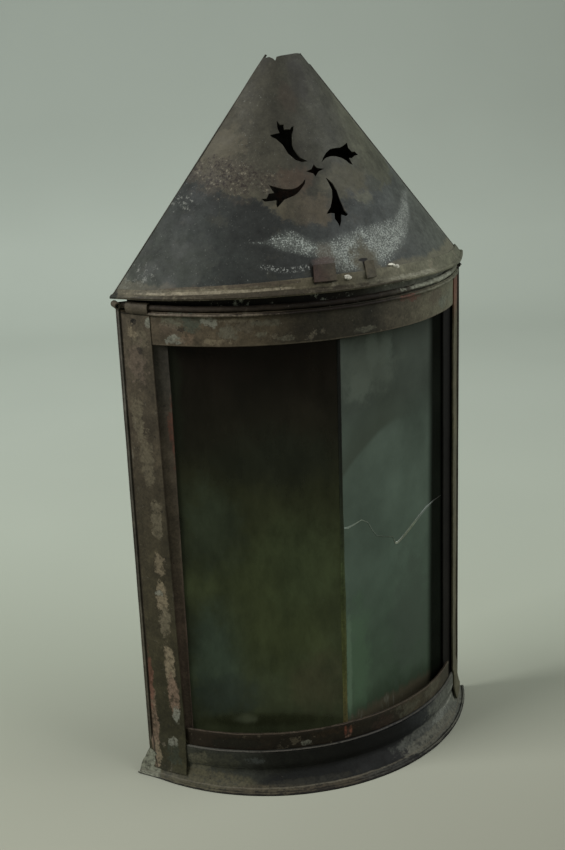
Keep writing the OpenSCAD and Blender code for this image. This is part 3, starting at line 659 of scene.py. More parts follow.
roof_colour_and_shade = roof_paint.blend(roof_colour_and_shade, (0.02, 0.015, 0.012), roof_paint.both(crust, roof_paint.spread(crumbs, 0.49, 0.41)))
roof_colour_and_shade = roof_paint.blend(roof_colour_and_shade, (0.19, 0.17, 0.125), roof_paint.both(crust, roof_paint.spread(crumbs, 0.57, 0.66, 0.0, 0.7)))

# %% Bloom, flecks and dust on the cone
dots = roof_paint.noise(0.7, 2, 0.5)
bloom_line = along_cone([(-100, 21), (-27, 21), (-20, 20.5), (-12, 17), (-4, 13.5), (5, 13), (15, 14.5), (25, 15.5), (33, 17), (40, 20), (46, 25), (52, 31), (58, 36), (100, 40)])
bloom_width = along_cone([(-100, 0), (-32, 0.2), (-27, 2.6), (-22, 4.2), (-16, 4), (-10, 4), (-4, 6.6), (5, 7.6), (15, 8.6), (25, 8.6), (33, 7.6), (40, 6.6), (46, 5.5), (52, 4.5), (57, 1.5), (62, 0), (100, 0)])
far = roof_paint.sums("ABSOLUTE", roof_paint.sums("SUBTRACT", roof_paint.sums("ADD", height_at, roof_paint.sums("MULTIPLY", wander, 0.3)), bloom_line))
bloom = roof_paint.spread(roof_paint.sums("SUBTRACT", far, bloom_width), 0.018, -0.035)
patchy = roof_paint.spread(roof_paint.noise(7, 5, 0.65), 0.34, 0.62, -0.05, 0.06)
bloom_bits = roof_paint.spread(roof_paint.sums("ADD", roof_paint.sums("ADD", dots, patchy), roof_paint.sums("MULTIPLY", bloom, 0.13)), 0.6, 0.78)
bloom_bits = roof_paint.both(bloom_bits, roof_paint.spread(bloom, 0.02, 0.22))
streak = roof_paint.spread(across, 0.71, 0.73)
haze = roof_paint.both(bloom, roof_paint.spread(roof_paint.noise(4, 5, 0.7), 0.36, 0.6, 0.35, 0.9))
roof_colour_and_shade = roof_paint.blend(roof_colour_and_shade, roof_paint.shade((0.145, 0.158, 0.142), dots, 0.5, 1.5), haze)
roof_colour_and_shade = roof_paint.blend(roof_colour_and_shade, (0.27, 0.295, 0.27), roof_paint.both(bloom_bits, roof_paint.spread(streak, 0, 1, 0.85, 0.3)))
for centre, size, tone, strength in (((-6, -50, 13.5), (4.5, 8, 5), (0.07, 0.062, 0.047), 0.75), ((13, -50, 9.5), (6.5, 8, 7.5), (0.07, 0.064, 0.043), 0.9), ((-9, -52, 10.5), (5, 6, 2.4), (0.06, 0.04, 0.036), 0.7), ((1, -52, 6), (4, 8, 5), (0.05, 0.05, 0.04), 0.5)):
    veil = roof_paint.spot(centre, size, 0.7, 5, 0.5, place=roof_place)
    roof_colour_and_shade = roof_paint.blend(roof_colour_and_shade, roof_paint.shade(tone, fine, 0.8, 1.2), roof_paint.both(veil, strength))
thin_line = along_cone([(-100, 11), (-36, 10.7), (-27, 8.6), (-16, 8.8), (100, 9)])
thin = roof_paint.spread(roof_paint.sums("ABSOLUTE", roof_paint.sums("SUBTRACT", height_at, thin_line)), 0.016, 0.002)
thin = roof_paint.both(thin, roof_paint.spread(roof_paint.sums("ABSOLUTE", roof_paint.sums("SUBTRACT", across, 0.375)), 0.07, 0.05))
roof_colour_and_shade = roof_paint.blend(roof_colour_and_shade, (0.2, 0.21, 0.195), roof_paint.both(thin, roof_paint.spread(dots, 0.54, 0.62)))
left_side = roof_paint.spread(across, 0.46, 0.3, 0.25, 1.0)
fleck_area = roof_paint.both(left_side, roof_paint.spread(roof_paint.noise(13, 3), 0.42, 0.6, 0.2, 1.0))
crowded = roof_paint.sums("MAXIMUM", roof_paint.spot((-60, -6, 41), (7, 14, 5), 0.9, 6, 0.5, place=roof_place), roof_paint.spot((-87, -12, 7), (9, 16, 6.5), 0.9, 6, 0.5, place=roof_place))
fleck_area = roof_paint.sums("MAXIMUM", fleck_area, crowded)
flecks = roof_paint.spread(roof_paint.sums("ADD", roof_paint.noise(2.0, 4, 0.75), roof_paint.sums("MULTIPLY", crowded, 0.1)), 0.63, 0.7)
roof_colour_and_shade = roof_paint.blend(roof_colour_and_shade, (0.13, 0.135, 0.118), roof_paint.both(roof_paint.both(flecks, fleck_area), 0.8))
stars = roof_paint.both(roof_paint.spread(dots, 0.64, 0.74), roof_paint.spread(roof_paint.noise(17, 3), 0.4, 0.6, 0.1, 1.0))
roof_colour_and_shade = roof_paint.blend(roof_colour_and_shade, (0.2, 0.21, 0.19), roof_paint.both(stars, 0.4))
pits = roof_paint.spread(roof_paint.noise(1.8, 4, 0.7), 0.37, 0.31)
roof_colour_and_shade = roof_paint.blend(roof_colour_and_shade, (0.012, 0.012, 0.011), roof_paint.both(roof_paint.both(pits, left_side), 0.8))
khaki_top = along_cone([(-100, 14), (-90, 8), (-80, 4.6), (-67, 3.4), (-30, 2.6), (0, 3.2), (12, 4.8), (30, 6.4), (60, 7.4), (80, 9.5), (100, 13)])
khaki = roof_paint.spread(roof_paint.sums("ADD", roof_paint.sums("SUBTRACT", height_at, khaki_top), roof_paint.sums("MULTIPLY", jagged, 0.5)), 0.009, -0.009)
foot_tone = roof_paint.ramp(across, [(0.02, (0.1, 0.098, 0.072)), (0.09, (0.07, 0.063, 0.044)), (0.2, (0.043, 0.034, 0.025)), (0.4, (0.038, 0.032, 0.023)), (0.52, (0.075, 0.066, 0.045)), (0.8, (0.1, 0.098, 0.068))])
roof_colour_and_shade = roof_paint.blend(roof_colour_and_shade, roof_paint.shade(foot_tone, crumbs, 0.65, 1.35), roof_paint.both(khaki, roof_paint.spread(across, 0.36, 0.5, 0.6, 0.9)))
# Painted shade: three black marks stand for the slits beside the front tabs and the shadows that the tabs cast on the
# cone.
for centre, size, turn in (((-14.3, -52, 6.0), (1.1, 6, 5.4), (0, -2, 0)), ((12.4, -51, 9.6), (2.6, 6, 0.7), (0, 0, 0)), ((13.0, -52, 6.4), (1.0, 6, 3.8), (0, -12, 0))):
    roof_colour_and_shade = roof_paint.blend(roof_colour_and_shade, BLACK, roof_paint.spot(centre, size, 0.08, 3.0, 0.25, turn, roof_place))
roof_height = roof_paint.sums("ADD", roof_paint.sums("MULTIPLY", crumbs, roof_paint.spread(roof_paint.sums("MAXIMUM", crust, bloom), 0, 1, 0.3, 1.1)), roof_paint.sums("MULTIPLY", ragged, 0.6))
cone_finish = roof_paint.done(roof_colour_and_shade, roof_height, 0.2, roof_paint.spread(ragged, 0.3, 0.7, 0.54, 0.74))
print("cone finish:", len(roof_paint.tree.nodes), "nodes")

# %% [markdown]
# ## The half cone and its punched flower
#
# The cone is the same bend, with a low bow that shrinks towards the point. The star and the
# four curled arms are punched through the sheet, so they are cut with a Boolean modifier
# from prisms that stand square to the slope. The worn top edge is cut the same way.

# %% Bend the cone
cone_top, cone_low = 105.6, 2.5
cone = sheet("half_cone_sheet", section([(-0.4, cone_low), (-0.4, cone_top + 0.8)], 0.75, 1.6), cone_finish, -0.992, 0.992, pitch=1.6, low=CONE, high=(CONE[0] * 0.05, CONE[1] * 0.05), height=APEX * 0.95, dent=0.55, size=34, waver=0.0, seed=21, roof=True)
roof_frame = Matrix.Translation((0, back_y, EAVE_Z * MM)) @ Matrix.Rotation(math.radians(-LEAN), 4, "X")


def prism(name, points, low, high, matrix):
    """Cutter: a flat outline in mm, drawn out from low to high."""
    return loft(name, [[matrix @ (Vector((p[0], p[1], z)) * MM) for p in points] for z in (low, high)])


# %% Outlines of the flower
star_h = 51.3
cone_slope = math.atan(APEX / CONE[1])
slope = roof_frame @ Matrix.Translation((0, -CONE[1] * (APEX - star_h) / APEX * MM, star_h * MM)) @ Matrix.Rotation(cone_slope, 4, "X")
flower = {
    "star": [(-0.9, 3.3), (0.6, 1.4), (3.9, 0.7), (0.8, -0.4), (-1.5, -2.9), (-2.1, -1.3), (-5.6, 0.2), (-2.5, 1.1)],
    "upper left arm": [(-3.4, 5.1), (-6.5, 5.0), (-9.2, 6.4), (-12.0, 10.2), (-13.4, 15.0), (-15.7, 18.6), (-17.3, 20.0), (-17.8, 21.1), (-13.4, 21.2), (-13.8, 23.7), (-13.2, 27.5), (-12.0, 25.2), (-10.5, 24.9),
                       (-10.7, 22.4), (-9.1, 22.3), (-8.2, 22.0), (-7.2, 23.2), (-6.1, 23.3), (-6.6, 21.6), (-7.6, 19.7), (-8.8, 14.4), (-8.6, 12.0), (-7.7, 9.5), (-6.4, 7.1)],
    "right arm": [(3.5, 3.9), (5.0, 6.4), (7.1, 8.7), (10.0, 10.7), (13.3, 11.4), (16.1, 11.7), (18.4, 12.8), (21.5, 14.8), (21.3, 12.0), (23.0, 10.0), (24.9, 10.4), (26.6, 8.8), (24.1, 8.0), (21.8, 6.5),
                  (20.0, 6.4), (21.2, 2.8), (19.1, 3.5), (17.7, 4.9), (15.3, 6.2), (12.4, 6.9), (9.4, 7.0), (6.6, 6.3), (4.8, 5.1)],
    "lower right arm": [(3.7, -3.7), (5.2, -5.1), (6.8, -7.0), (7.7, -9.8), (8.3, -15.3), (9.2, -20.4), (10.7, -22.7), (9.3, -23.7), (7.0, -22.8), (6.1, -26.0), (4.5, -28.9), (4.1, -26.8), (3.0, -24.6),
                        (3.5, -21.9), (2.0, -21.6), (-0.6, -21.8), (0.6, -20.4), (2.1, -18.9), (3.5, -16.1), (4.6, -13.5), (5.3, -10.0), (4.6, -7.2)],
    "lower left arm": [(-6.8, -3.3), (-7.6, -5.7), (-9.2, -7.4), (-11.6, -9.5), (-14.1, -10.9), (-19.1, -12.1), (-20.9, -13.6), (-23.1, -15.3), (-23.2, -13.6), (-22.6, -11.6), (-25.3, -11.4), (-27.7, -11.1), (-29.0, -9.3),
                       (-26.7, -9.8), (-25.1, -7.6), (-22.8, -7.8), (-23.5, -5.8), (-24.1, -3.4), (-22.3, -4.6), (-18.5, -6.6), (-16.2, -7.3), (-13.7, -7.5), (-11.3, -6.9), (-8.6, -5.2)]}
print("flower:", ", ".join(flower))

# %% Punch the flower and the top edge
cutters = [prism(part, line, -16, 6, slope) for part, line in flower.items()]
worn_edge = [(-13, 112), (-13, 104.6), (-9.6, 104.9), (-8.4, 105.1), (-7.2, 104.2), (-6.6, 103.1), (-6.1, 103.4), (-5.2, 105.0), (-3.2, 105.4), (0, 105.7), (4.5, 106.2), (7, 106.2), (8.2, 105.4), (9.4, 104.4), (13, 102.5), (13, 112)]
front_on = roof_frame @ Matrix.Rotation(math.radians(90), 4, "X")
cutters.append(prism("top edge", worn_edge, 0.5, 30, front_on))
cutter = clean(join("cutter", cutters))
punch = cone.modifiers.new("punch", "BOOLEAN")
punch.object = cutter
punch.solver = "EXACT"
cone = clean(freeze(cone))
bpy.data.objects.remove(cutter)

# %% Soot inside the cone
soot = worn("soot inside the roof", [(-100, (0.006, 0.0055, 0.005)), (100, (0.007, 0.006, 0.005))], much=0.2, flecks=(0.02, 0.017, 0.013), dust=0.1)
carry(cone, "roof", cone_finish, ["roof_cone"])
cone.data.materials.append(soot)
for face in cone.data.polygons:
    centre = roof_frame.inverted() @ face.center
    outwards = Vector((centre.x, centre.y + (CONE[1] - (CONE[0] ** 2 + CONE[1] ** 2) / (2 * CONE[1])) * MM * (1 - centre.z / (APEX * MM)), 0))
    if face.normal.dot(outwards) < 0:
        face.material_index = 1
print("sooty faces:", sum(face.material_index for face in cone.data.polygons))

# %% [markdown]
# ## The eave
#
# A flared strip is soldered round the foot of the cone. It has a rolled lower edge, and its
# two ends stand free: the left one is a sharp point and the right one is bent up.

# %% Flange with a rolled edge
# The two black patches near the left tab are painted shadow, where the tab stands off the cone and shades the eave.
flange_paint = worn("khaki paint and painted tab shadow on the eave", [(-98, (0.05, 0.046, 0.032)), (-84, (0.088, 0.078, 0.053)), (-40, (0.072, 0.061, 0.039)), (0, (0.074, 0.066, 0.043)), (30, (0.11, 0.105, 0.074)), (60, (0.115, 0.115, 0.08)), (98, (0.09, 0.094, 0.064))], flecks=(0.16, 0.145, 0.105), much=1.0, dust=0.9, frame_of=((0, back_y / MM, EAVE_Z), (-LEAN, 0, 0)), patches=[
    ((-98, -2, 1), (4, 5, 4), (0.012, 0.014, 0.011), 0.9, 0.3), ((-14.6, -56, 3.4), (1.2, 6, 2.6), BLACK, 0.95, 0.1), ((-9, -56, 1.7), (6, 6, 0.6), BLACK, 0.8, 0.3),
    ((-40, -50, -1.6), (34, 20, 0.9), (0.04, 0.032, 0.021), 0.85, 0.6), ((12, -56, -2.4), (30, 10, 0.7), (0.03, 0.025, 0.016), 0.8, 0.6), ((-60, -40, 0.7), (40, 40, 0.8), (0.2, 0.175, 0.125), 0.75, 0.5), ((-50, -40, -1.2), (70, 40, 1.3), (0.026, 0.021, 0.013), 0.9, 0.3), ((-50, -40, 3.2), (40, 40, 0.9), (0.04, 0.03, 0.022), 0.6, 0.9), ((40, -46, -0.6), (20, 12, 0.9), (0.19, 0.185, 0.14), 0.7, 0.9)])
shrink = (APEX - 5.0) / APEX
flange_line = [(-1.1, 1.5), (-1.25, 0.75), (-0.8, 0.35), (-0.25, 0.6), (-0.15, 1.2), (-0.6, 1.7), (-0.75, 2.4), (-0.6, 3.4), (-0.55, 4.8)]
flange = sheet("eave_flange_sheet", section(flange_line, 0.6, 0.8), flange_paint, -0.997, 0.997, low=(98.2, 57.2), high=(CONE[0] * shrink + 1, CONE[1] * shrink + 1), height=5.0, dent=0.4, size=24, waver=0.3, seed=23, roof=True)
for v in flange.data.vertices:
    place = roof_frame.inverted() @ v.co / MM
    left_half = min(1.0, max(0.0, (-place.x - 5) / 55))
    right_end = max(0.0, (place.x - 84) / 14)
    low_part = min(1.0, max(0.0, (4.2 - place.z) / 2.6))
    drop = (1.1 + 1.7 * min(1.0, -place.y / 57)) * low_part
    v.co.z += (2.6 * right_end ** 2 - 0.42 * max(0.0, place.z - 1.8) * left_half - drop) * MM
carry(clean(flange), "roof", nodes=["eave_flange"])

# %% [markdown]
# ## Room, light and background
#
# The photograph was taken on a grey-green sweep of paper with big soft lamps. The floor
# runs up into the backdrop without an edge. One large lamp stands at the left, a weaker one
# at the right, and an even sky fills the rest, so a colour renders about as it is written.

# %% Paper sweep
paper = Finish("grey-green paper and painted light", 0.9, Specular_IOR_Level=0.05)
from_camera = paper.moved((0, 0, 0), (0, 0, math.degrees(azimuth)))
# Painted light: the paper is lightest where the floor turns up into the backdrop and darker towards the camera and up
# the backdrop. Painted shade darkens it towards the right and in a patch at the lower right.
depth = paper.ramp(paper.axis("Y", -600, 1700, from_camera), [(0.2, (0.285, 0.292, 0.236)), (0.255, (0.3, 0.31, 0.253)), (0.31, (0.33, 0.355, 0.29)), (0.4, (0.365, 0.4, 0.336)), (0.55, (0.405, 0.447, 0.388)), (0.78, (0.442, 0.492, 0.434)), (0.83, (0.437, 0.486, 0.43)), (0.885, (0.392, 0.436, 0.386)), (0.925, (0.36, 0.4, 0.354)), (1.0, (0.335, 0.372, 0.332))])
paper_and_painted_light = paper.blend(depth, (0.2, 0.215, 0.18), paper.spread(paper.axis("X", -250, 1100, from_camera), 0.0, 1.0, 0.0, 0.55))
paper_and_painted_light = paper.blend(paper_and_painted_light, (0.2, 0.2, 0.158), paper.both(paper.spot((330, -170, 0), (300, 170, 400), 0.0, 400, 0.9, place=from_camera), 0.75))
paper_and_painted_light = paper.shade(paper_and_painted_light, paper.noise(400, 3), 0.97, 1.03)
turned = Matrix.Rotation(azimuth, 3, "Z")
profile = [(-2.6, 0), (1.0, 0)] + [(1.0 + 0.7 * math.sin(math.radians(a)), 0.7 - 0.7 * math.cos(math.radians(a))) for a in range(5, 91, 5)] + [(1.7, 2.6)]
points = [turned @ Vector((x, y, z)) for x in (-3.2, 3.2) for y, z in profile]
sweep_mesh = bpy.data.meshes.new("paper_sweep")
sweep_mesh.from_pydata(points, [], [(i, len(profile) + i, len(profile) + i + 1, i + 1) for i in range(len(profile) - 1)])
for face in sweep_mesh.polygons:
    face.use_smooth = True
sweep = bpy.data.objects.new("paper_sweep", sweep_mesh)
bpy.context.scene.collection.objects.link(sweep)
sweep_mesh.materials.append(paper.done(paper_and_painted_light))

# %% Lamps and sky
def lamp(name, place, aim, size, power, colour=(1, 1, 1)):
    light = bpy.data.lights.new(name, "AREA")
    light.shape, light.size, light.energy, light.color = "SQUARE", size, power, colour
    holder = bpy.data.objects.new(name, light)
    holder.matrix_world = Matrix.Translation(place) @ (Vector(place) - Vector(aim)).to_track_quat("Z", "Y").to_matrix().to_4x4()
    bpy.context.scene.collection.objects.link(holder)


lamp("key_left", (-1.55, 0.1, 1.35), (0, 0, 0.15), 0.9, 42)
lamp("fill_right", (1.3, -0.9, 1.3), (0, 0, 0.15), 1.9, 36)
world = bpy.data.worlds.new("studio air")
bpy.context.scene.world = world
world.use_nodes = True
world.node_tree.nodes["Background"].inputs[0].default_value = (0.16, 0.172, 0.155, 1)
bpy.context.scene.view_settings.view_transform = "Standard"
print("sweep, two lamps and the sky")

# %% [markdown]
# ## Inside sheets, galleries and channels
#
# Two curved galleries carry the panes on V-shaped ledges, and folded channels hold their
# outer edges. They are dark with smoke. The lower gallery has a lighter line along its top edge,
# wear and a painted highlight, and the right channel is painted nearly black as painted shade.

# %% Galleries
# The lighter line along the top edge is wear and a painted highlight, where the edge catches the light.
gallery_paint = worn("smoked brown of the galleries", [(-80, (0.0115, 0.008, 0.0042)), (0, (0.0085, 0.0066, 0.0032)), (14, (0.013, 0.0105, 0.006)), (45, (0.03, 0.0255, 0.015)), (80, (0.04, 0.036, 0.024))], flecks=(0.06, 0.05, 0.032), much=0.9, dust=0.4, patches=[
    ((-3.6, -30.6, 26), (1.2, 2, 3.6), (0.12, 0.038, 0.022), 0.95, 0.2), ((-0.5, -30.8, 25.6), (1.2, 2, 3.4), (0.14, 0.052, 0.03), 0.95, 0.2), ((-2, -30.8, 25), (3.4, 2, 4), (0.06, 0.03, 0.02), 0.6, 0.5),
    ((-1.9, -30.7, 22.3), (2.6, 2, 1.3), (0.15, 0.09, 0.065), 0.85, 0.5), ((-25.3, -28, 23.3), (2.8, 3, 1.9), (0.1, 0.1, 0.078), 0.8, 0.7),
    ((20, -30, 24), (7, 6, 4), (0.02, 0.012, 0.008), 0.7, 0.7), ((-60, -14, 24), (16, 12, 3), (0.007, 0.0065, 0.0035), 0.8, 0.8), ((-12, -31, 27), (12, 6, 2), (0.02, 0.0125, 0.006), 0.6, 0.9), ((40, -24, 25), (9, 8, 4), (0.05, 0.05, 0.034), 0.6, 1.1), ((58, -12, 26), (8, 8, 4), (0.06, 0.058, 0.04), 0.6, 1.1)], lines=[("Z", 29.9, 0.3, (0.06, 0.046, 0.033), 0.85)])
inner_iron = worn("smoky inner iron", [(-100, (0.016, 0.0145, 0.011)), (100, (0.018, 0.016, 0.012))], much=0.3, flecks=(0.035, 0.03, 0.022), dust=0.2)
PANE_TURN, PANE_JOINT = math.radians(24.1), 49.6


def at_pane(side, s, t, z):
    """Point in the frame of one pane: s along it from the joint, t behind its face."""
    return Vector((side * (s * math.cos(PANE_TURN) - t * math.sin(PANE_TURN)),
                   back_y / MM - PANE_JOINT + s * math.sin(PANE_TURN) + t * math.cos(PANE_TURN), z)) * MM


def on_glass(side, s, t, z):
    """The same for the old panes, whose joint has slipped a little to the left, most at the foot."""
    return at_pane(side, s, t, z) - Vector((1.1 + 1.6 * (1 - z / 250), 0, 0)) * MM * (1 - s / 89)


def ledge(name, low):
    """Flat ledge between the bow and a V line behind the panes."""
    ledge_r = 107.7
    arc = [(ledge_r * math.sin(math.radians(a)), BOW_R - BOW[1] - ledge_r * math.cos(math.radians(a))) for a in range(-54, 55, 3)]
    vee = [(x, 6.5 - PANE_JOINT + abs(x) * math.tan(PANE_TURN)) for x in (86, 0, -86)]
    return loft(name, [[(x * MM, back_y + y * MM, z * MM) for x, y in arc + vee] for z in (low, low + 0.8)])


gallery_edge = [(-2.35, 27.6), (-2.9, 28.6), (-2.75, 29.7), (-2.1, 30.0), (-1.75, 29.2), (-2.0, 27.5), (-2.0, 12.2)]
low_strip = sheet("strip", section(gallery_edge, 0.6, 2.0), gallery_paint, share(-47.8), share(46.5), dent=0.3, size=20, waver=0.45, seed=31)
carry(join("bottom_gallery_sheet", [low_strip, ledge("ledge", 12)]), "body", gallery_paint, ["bottom_gallery"])
high_strip = sheet("strip", section([(-2.0, 238.6), (-2.0, 249.9)], 0.7, 3.0), inner_iron, share(-47.8), share(47.8), dent=0.2, size=20, waver=0.1, seed=32)
carry(join("top_gallery_sheet", [high_strip, ledge("ledge", 249.2)]), "body", inner_iron, ["top_gallery"])

# %% Channels and collar
left_channel_paint = worn("brown paint on the left channel", [(12, (0.05, 0.036, 0.026)), (90, (0.056, 0.04, 0.029)), (130, (0.066, 0.053, 0.036)), (190, (0.062, 0.05, 0.036)), (215, (0.046, 0.041, 0.032)), (250, (0.03, 0.027, 0.022))], (12, 250), "Z", much=0.35, flecks=(0.08, 0.055, 0.038), streaks=0.15, dust=0.3, patches=[
    ((-75.5, 3, 192), (3, 4, 18), (0.09, 0.036, 0.024), 0.7, 0.7)])
# The right channel is painted nearly black: painted shade, where the right stile shades it.
right_channel_shade = worn("painted shade on the right channel", [(12, (0.006, 0.0055, 0.004)), (250, (0.003, 0.003, 0.0025))], (12, 250), "Z", much=0.1, flecks=(0.01, 0.009, 0.007), dust=0.1)
for side, name, finish in ((-1, "left", left_channel_paint), (1, "right", right_channel_shade)):
    outline = section([(82.4, -0.75), (83.3, -0.4), (89.3, -0.4), (89.3, 2.4), (82.5, 2.4)], 0.7, 1.5)
    rings = []
    for p in fill([(0, 12.8), (0, 249.2)], 5):
        sway = 0.22 * noise.noise(Vector((side * 2.3, 0, p.y / 24)))
        rings.append([at_pane(side, s + sway, t, p.y) for s, t in outline])
    carry(clean(loft(f"{name}_channel_sheet", rings)), "body", finish, [f"{name}_glass_channel"])
# From the left end to the middle the collar is painted nearly black: painted shade under the eave. Towards the right it
# carries green-white bloom.
collar_bloom_and_shade = worn("green-white bloom and painted shade on the collar", [(-95, (0.007, 0.006, 0.0045)), (-5, (0.009, 0.0075, 0.005)), (14, (0.02, 0.019, 0.013)), (30, (0.1, 0.105, 0.08)), (95, (0.15, 0.16, 0.125))], flecks=(0.34, 0.36, 0.29), much=1.1, dust=0.9)
collar = sheet("roof_collar_sheet", section([(-3.4, 250.3), (-3.4, 261.6)], 0.7, 3.0), collar_bloom_and_shade, -0.965, 0.965, dent=0.25, size=16, waver=0.0, seed=33)
for v in collar.data.vertices:
    if v.co.z > 0.256:
        v.co.z += (back_y - v.co.y) * math.sin(math.radians(LEAN))
carry(clean(collar), "body", nodes=["roof_collar"])

# %% [markdown]
# ## The panes
#
# Old window glass is a little wavy, green at its edges and here clouded with smoke and dust.
# The left pane looks into a dark chamber, whose shade its film paints. The right one is hazed
# grey green, partly a painted reflection, with dirt along its foot, a painted shadow of the stile
# along its right edge, and a crack with painted glints that runs from the joint to the channel.


# %% Wavy panes
def pane(side, name):
    rings = []
    for i in range(25):
        s = 1.1 + 87.8 * i / 24
        rows = fill([(0, 12.9), (0, 249.1)], 6)
        wave = [0.12 * noise.noise(Vector((s / 30, side * 4.0, p.y / 45))) for p in rows]
        front = [on_glass(side, s, 0.12 + w, p.y) for p, w in zip(rows, wave)]
        rear = [on_glass(side, s, 1.88 + w, p.y) for p, w in zip(rows, wave)]
        rings.append(front + rear[::-1])
    return clean(loft(name, rings))


class Glass(Finish):
    """Smoked glass: a clear shader, with a film of smoke, dust, painted shade and painted reflection that a mask lays
    over it.
    """

    def __init__(self, name, clear, veil, share_low, share_high):
        super().__init__(name, 0.14, Transmission_Weight=0.85, IOR=1.45, Specular_IOR_Level=0.35)
        self.height = self.axis("Z", 12, 250)
        self.cloud = self.noise(34, 5, 0.55)
        self.tree.links.new(self.ramp(self.height, clear), self.shader.inputs["Base Color"])
        self.veil = self.shade(self.ramp(self.height, veil), self.cloud, 0.72, 1.28)
        self.mask = self.sums("ADD", self.spread(self.height, 0.0, 1.0, share_low, share_high, soft=False), self.sums("MULTIPLY", self.sums("SUBTRACT", self.cloud, 0.5), 0.2))

    def lay(self, colour, area, strength):
        """A tone on the film where the area is 1."""
        self.veil = self.blend(self.veil, colour, self.both(area, strength))

    def finish(self):
        film = add(self.tree, "ShaderNodeBsdfDiffuse", {"Color": self.veil})
        mixed = add(self.tree, "ShaderNodeMixShader", {0: self.mask, 1: self.shader.outputs[0], 2: film.outputs[0]})
        self.tree.links.new(mixed.outputs[0], self.tree.nodes["Material Output"].inputs[0])
        return self.material


# %% Smoke and dust on the panes
# The left pane's film is smoke and painted shade: it stands for the dark chamber behind the glass, greener at the foot
# and darkest towards the top.
left_glass = Glass("smoked glass and painted shade, left", [(0, (0.16, 0.2, 0.1)), (0.5, (0.12, 0.13, 0.07)), (1, (0.05, 0.045, 0.035))],
                   [(0, (0.032, 0.036, 0.018)), (0.2, (0.034, 0.042, 0.022)), (0.45, (0.035, 0.043, 0.019)), (0.6, (0.023, 0.026, 0.0125)), (0.72, (0.011, 0.0105, 0.0068)), (0.85, (0.0085, 0.0068, 0.005)), (1, (0.007, 0.0052, 0.0042))], 0.84, 0.86)
for centre, size, tone in (((-62, 0, 70), (12, 30, 26), (0.034, 0.05, 0.036)), ((-30, 0, 88), (24, 20, 30), (0.036, 0.044, 0.018)), ((-58, 0, 48), (18, 12, 10), (0.022, 0.03, 0.024)), ((-14, 0, 52), (12, 12, 14), (0.05, 0.05, 0.027)), ((-40, 0, 32), (40, 20, 3.5), (0.014, 0.015, 0.007)), ((-50, 0, 33), (5, 12, 2.5), (0.06, 0.068, 0.042)), ((-30, 0, 175), (30, 20, 14), (0.0125, 0.0145, 0.0095)), ((-62, 0, 140), (14, 20, 20), (0.026, 0.034, 0.021)), ((-20, 0, 120), (16, 20, 24), (0.04, 0.052, 0.024)), ((-40, 0, 235), (44, 20, 14), (0.0095, 0.006, 0.0048))):
    left_glass.lay(tone, left_glass.spot((centre[0], back_y / MM - PANE_JOINT - centre[0] * math.tan(PANE_TURN), centre[2]), size, 0.6, 12, 0.6), 0.8)
# The right pane's grey-green film is haze and a painted reflection of the bright room at its right.
right_glass = Glass("hazed glass and painted reflection, right", [(0, (0.2, 0.3, 0.2)), (1, (0.15, 0.2, 0.15))],
                    [(0, (0.04, 0.058, 0.036)), (0.15, (0.045, 0.067, 0.045)), (0.4, (0.06, 0.084, 0.064)), (0.7, (0.066, 0.086, 0.069)), (0.78, (0.048, 0.058, 0.048)), (1, (0.043, 0.05, 0.042))], 0.93, 0.93)
step_line = right_glass.curve(right_glass.axis("X", 0, 80), [(0, 0.64), (0.1, 0.665), (0.23, 0.689), (0.37, 0.711), (0.6, 0.717), (0.84, 0.704), (1, 0.7)])
over_step = right_glass.spread(right_glass.sums("SUBTRACT", right_glass.height, step_line), -0.004, 0.012)
dark_over = right_glass.both(over_step, right_glass.spread(right_glass.sums("SUBTRACT", right_glass.height, step_line), 0.13, 0.0))
right_glass.lay((0.042, 0.05, 0.038), right_glass.both(dark_over, right_glass.spread(right_glass.axis("X", 0, 80), 0.75, 0.35)), 0.75)
for centre, size, tone in (((22, 0, 226), (4, 14, 8), (0.1, 0.12, 0.1)), ((33, 0, 222), (4, 12, 9), (0.095, 0.115, 0.095)), ((13, 0, 208), (8, 12, 6), (0.1, 0.12, 0.098)), ((20, 0, 216), (20, 16, 14), (0.07, 0.082, 0.066)), ((8, 0, 60), (8, 12, 30), (0.06, 0.1, 0.06)), ((52, 0, 70), (18, 20, 34), (0.052, 0.068, 0.053)), ((1.2, 0, 50), (1.7, 12, 40), (0.09, 0.135, 0.09))):
    right_glass.lay(tone, right_glass.spot((centre[0], back_y / MM - PANE_JOINT + centre[0] * math.tan(PANE_TURN), centre[2]), size, 0.8, 9, 0.6), 0.7)
drips = right_glass.noise(3.0, 4, 0.65, place=right_glass.moved(size=(1, 1, 5)))
reach = right_glass.sums("ADD", right_glass.spread(right_glass.axis("X", 0, 80), 0.0, 1.0, 0.078, 0.07), right_glass.sums("MULTIPLY", right_glass.sums("SUBTRACT", drips, 0.5), 0.07))
dirt = right_glass.spread(right_glass.sums("SUBTRACT", right_glass.height, reach), 0.012, -0.012)
right_glass.lay((0.024, 0.034, 0.02), right_glass.spread(right_glass.sums("SUBTRACT", right_glass.height, reach), 0.05, -0.01), 0.6)
right_glass.lay((0.06, 0.05, 0.033), dirt, 0.85)
right_glass.lay((0.12, 0.125, 0.1), right_glass.both(dirt, right_glass.spread(drips, 0.55, 0.68)), 0.6)
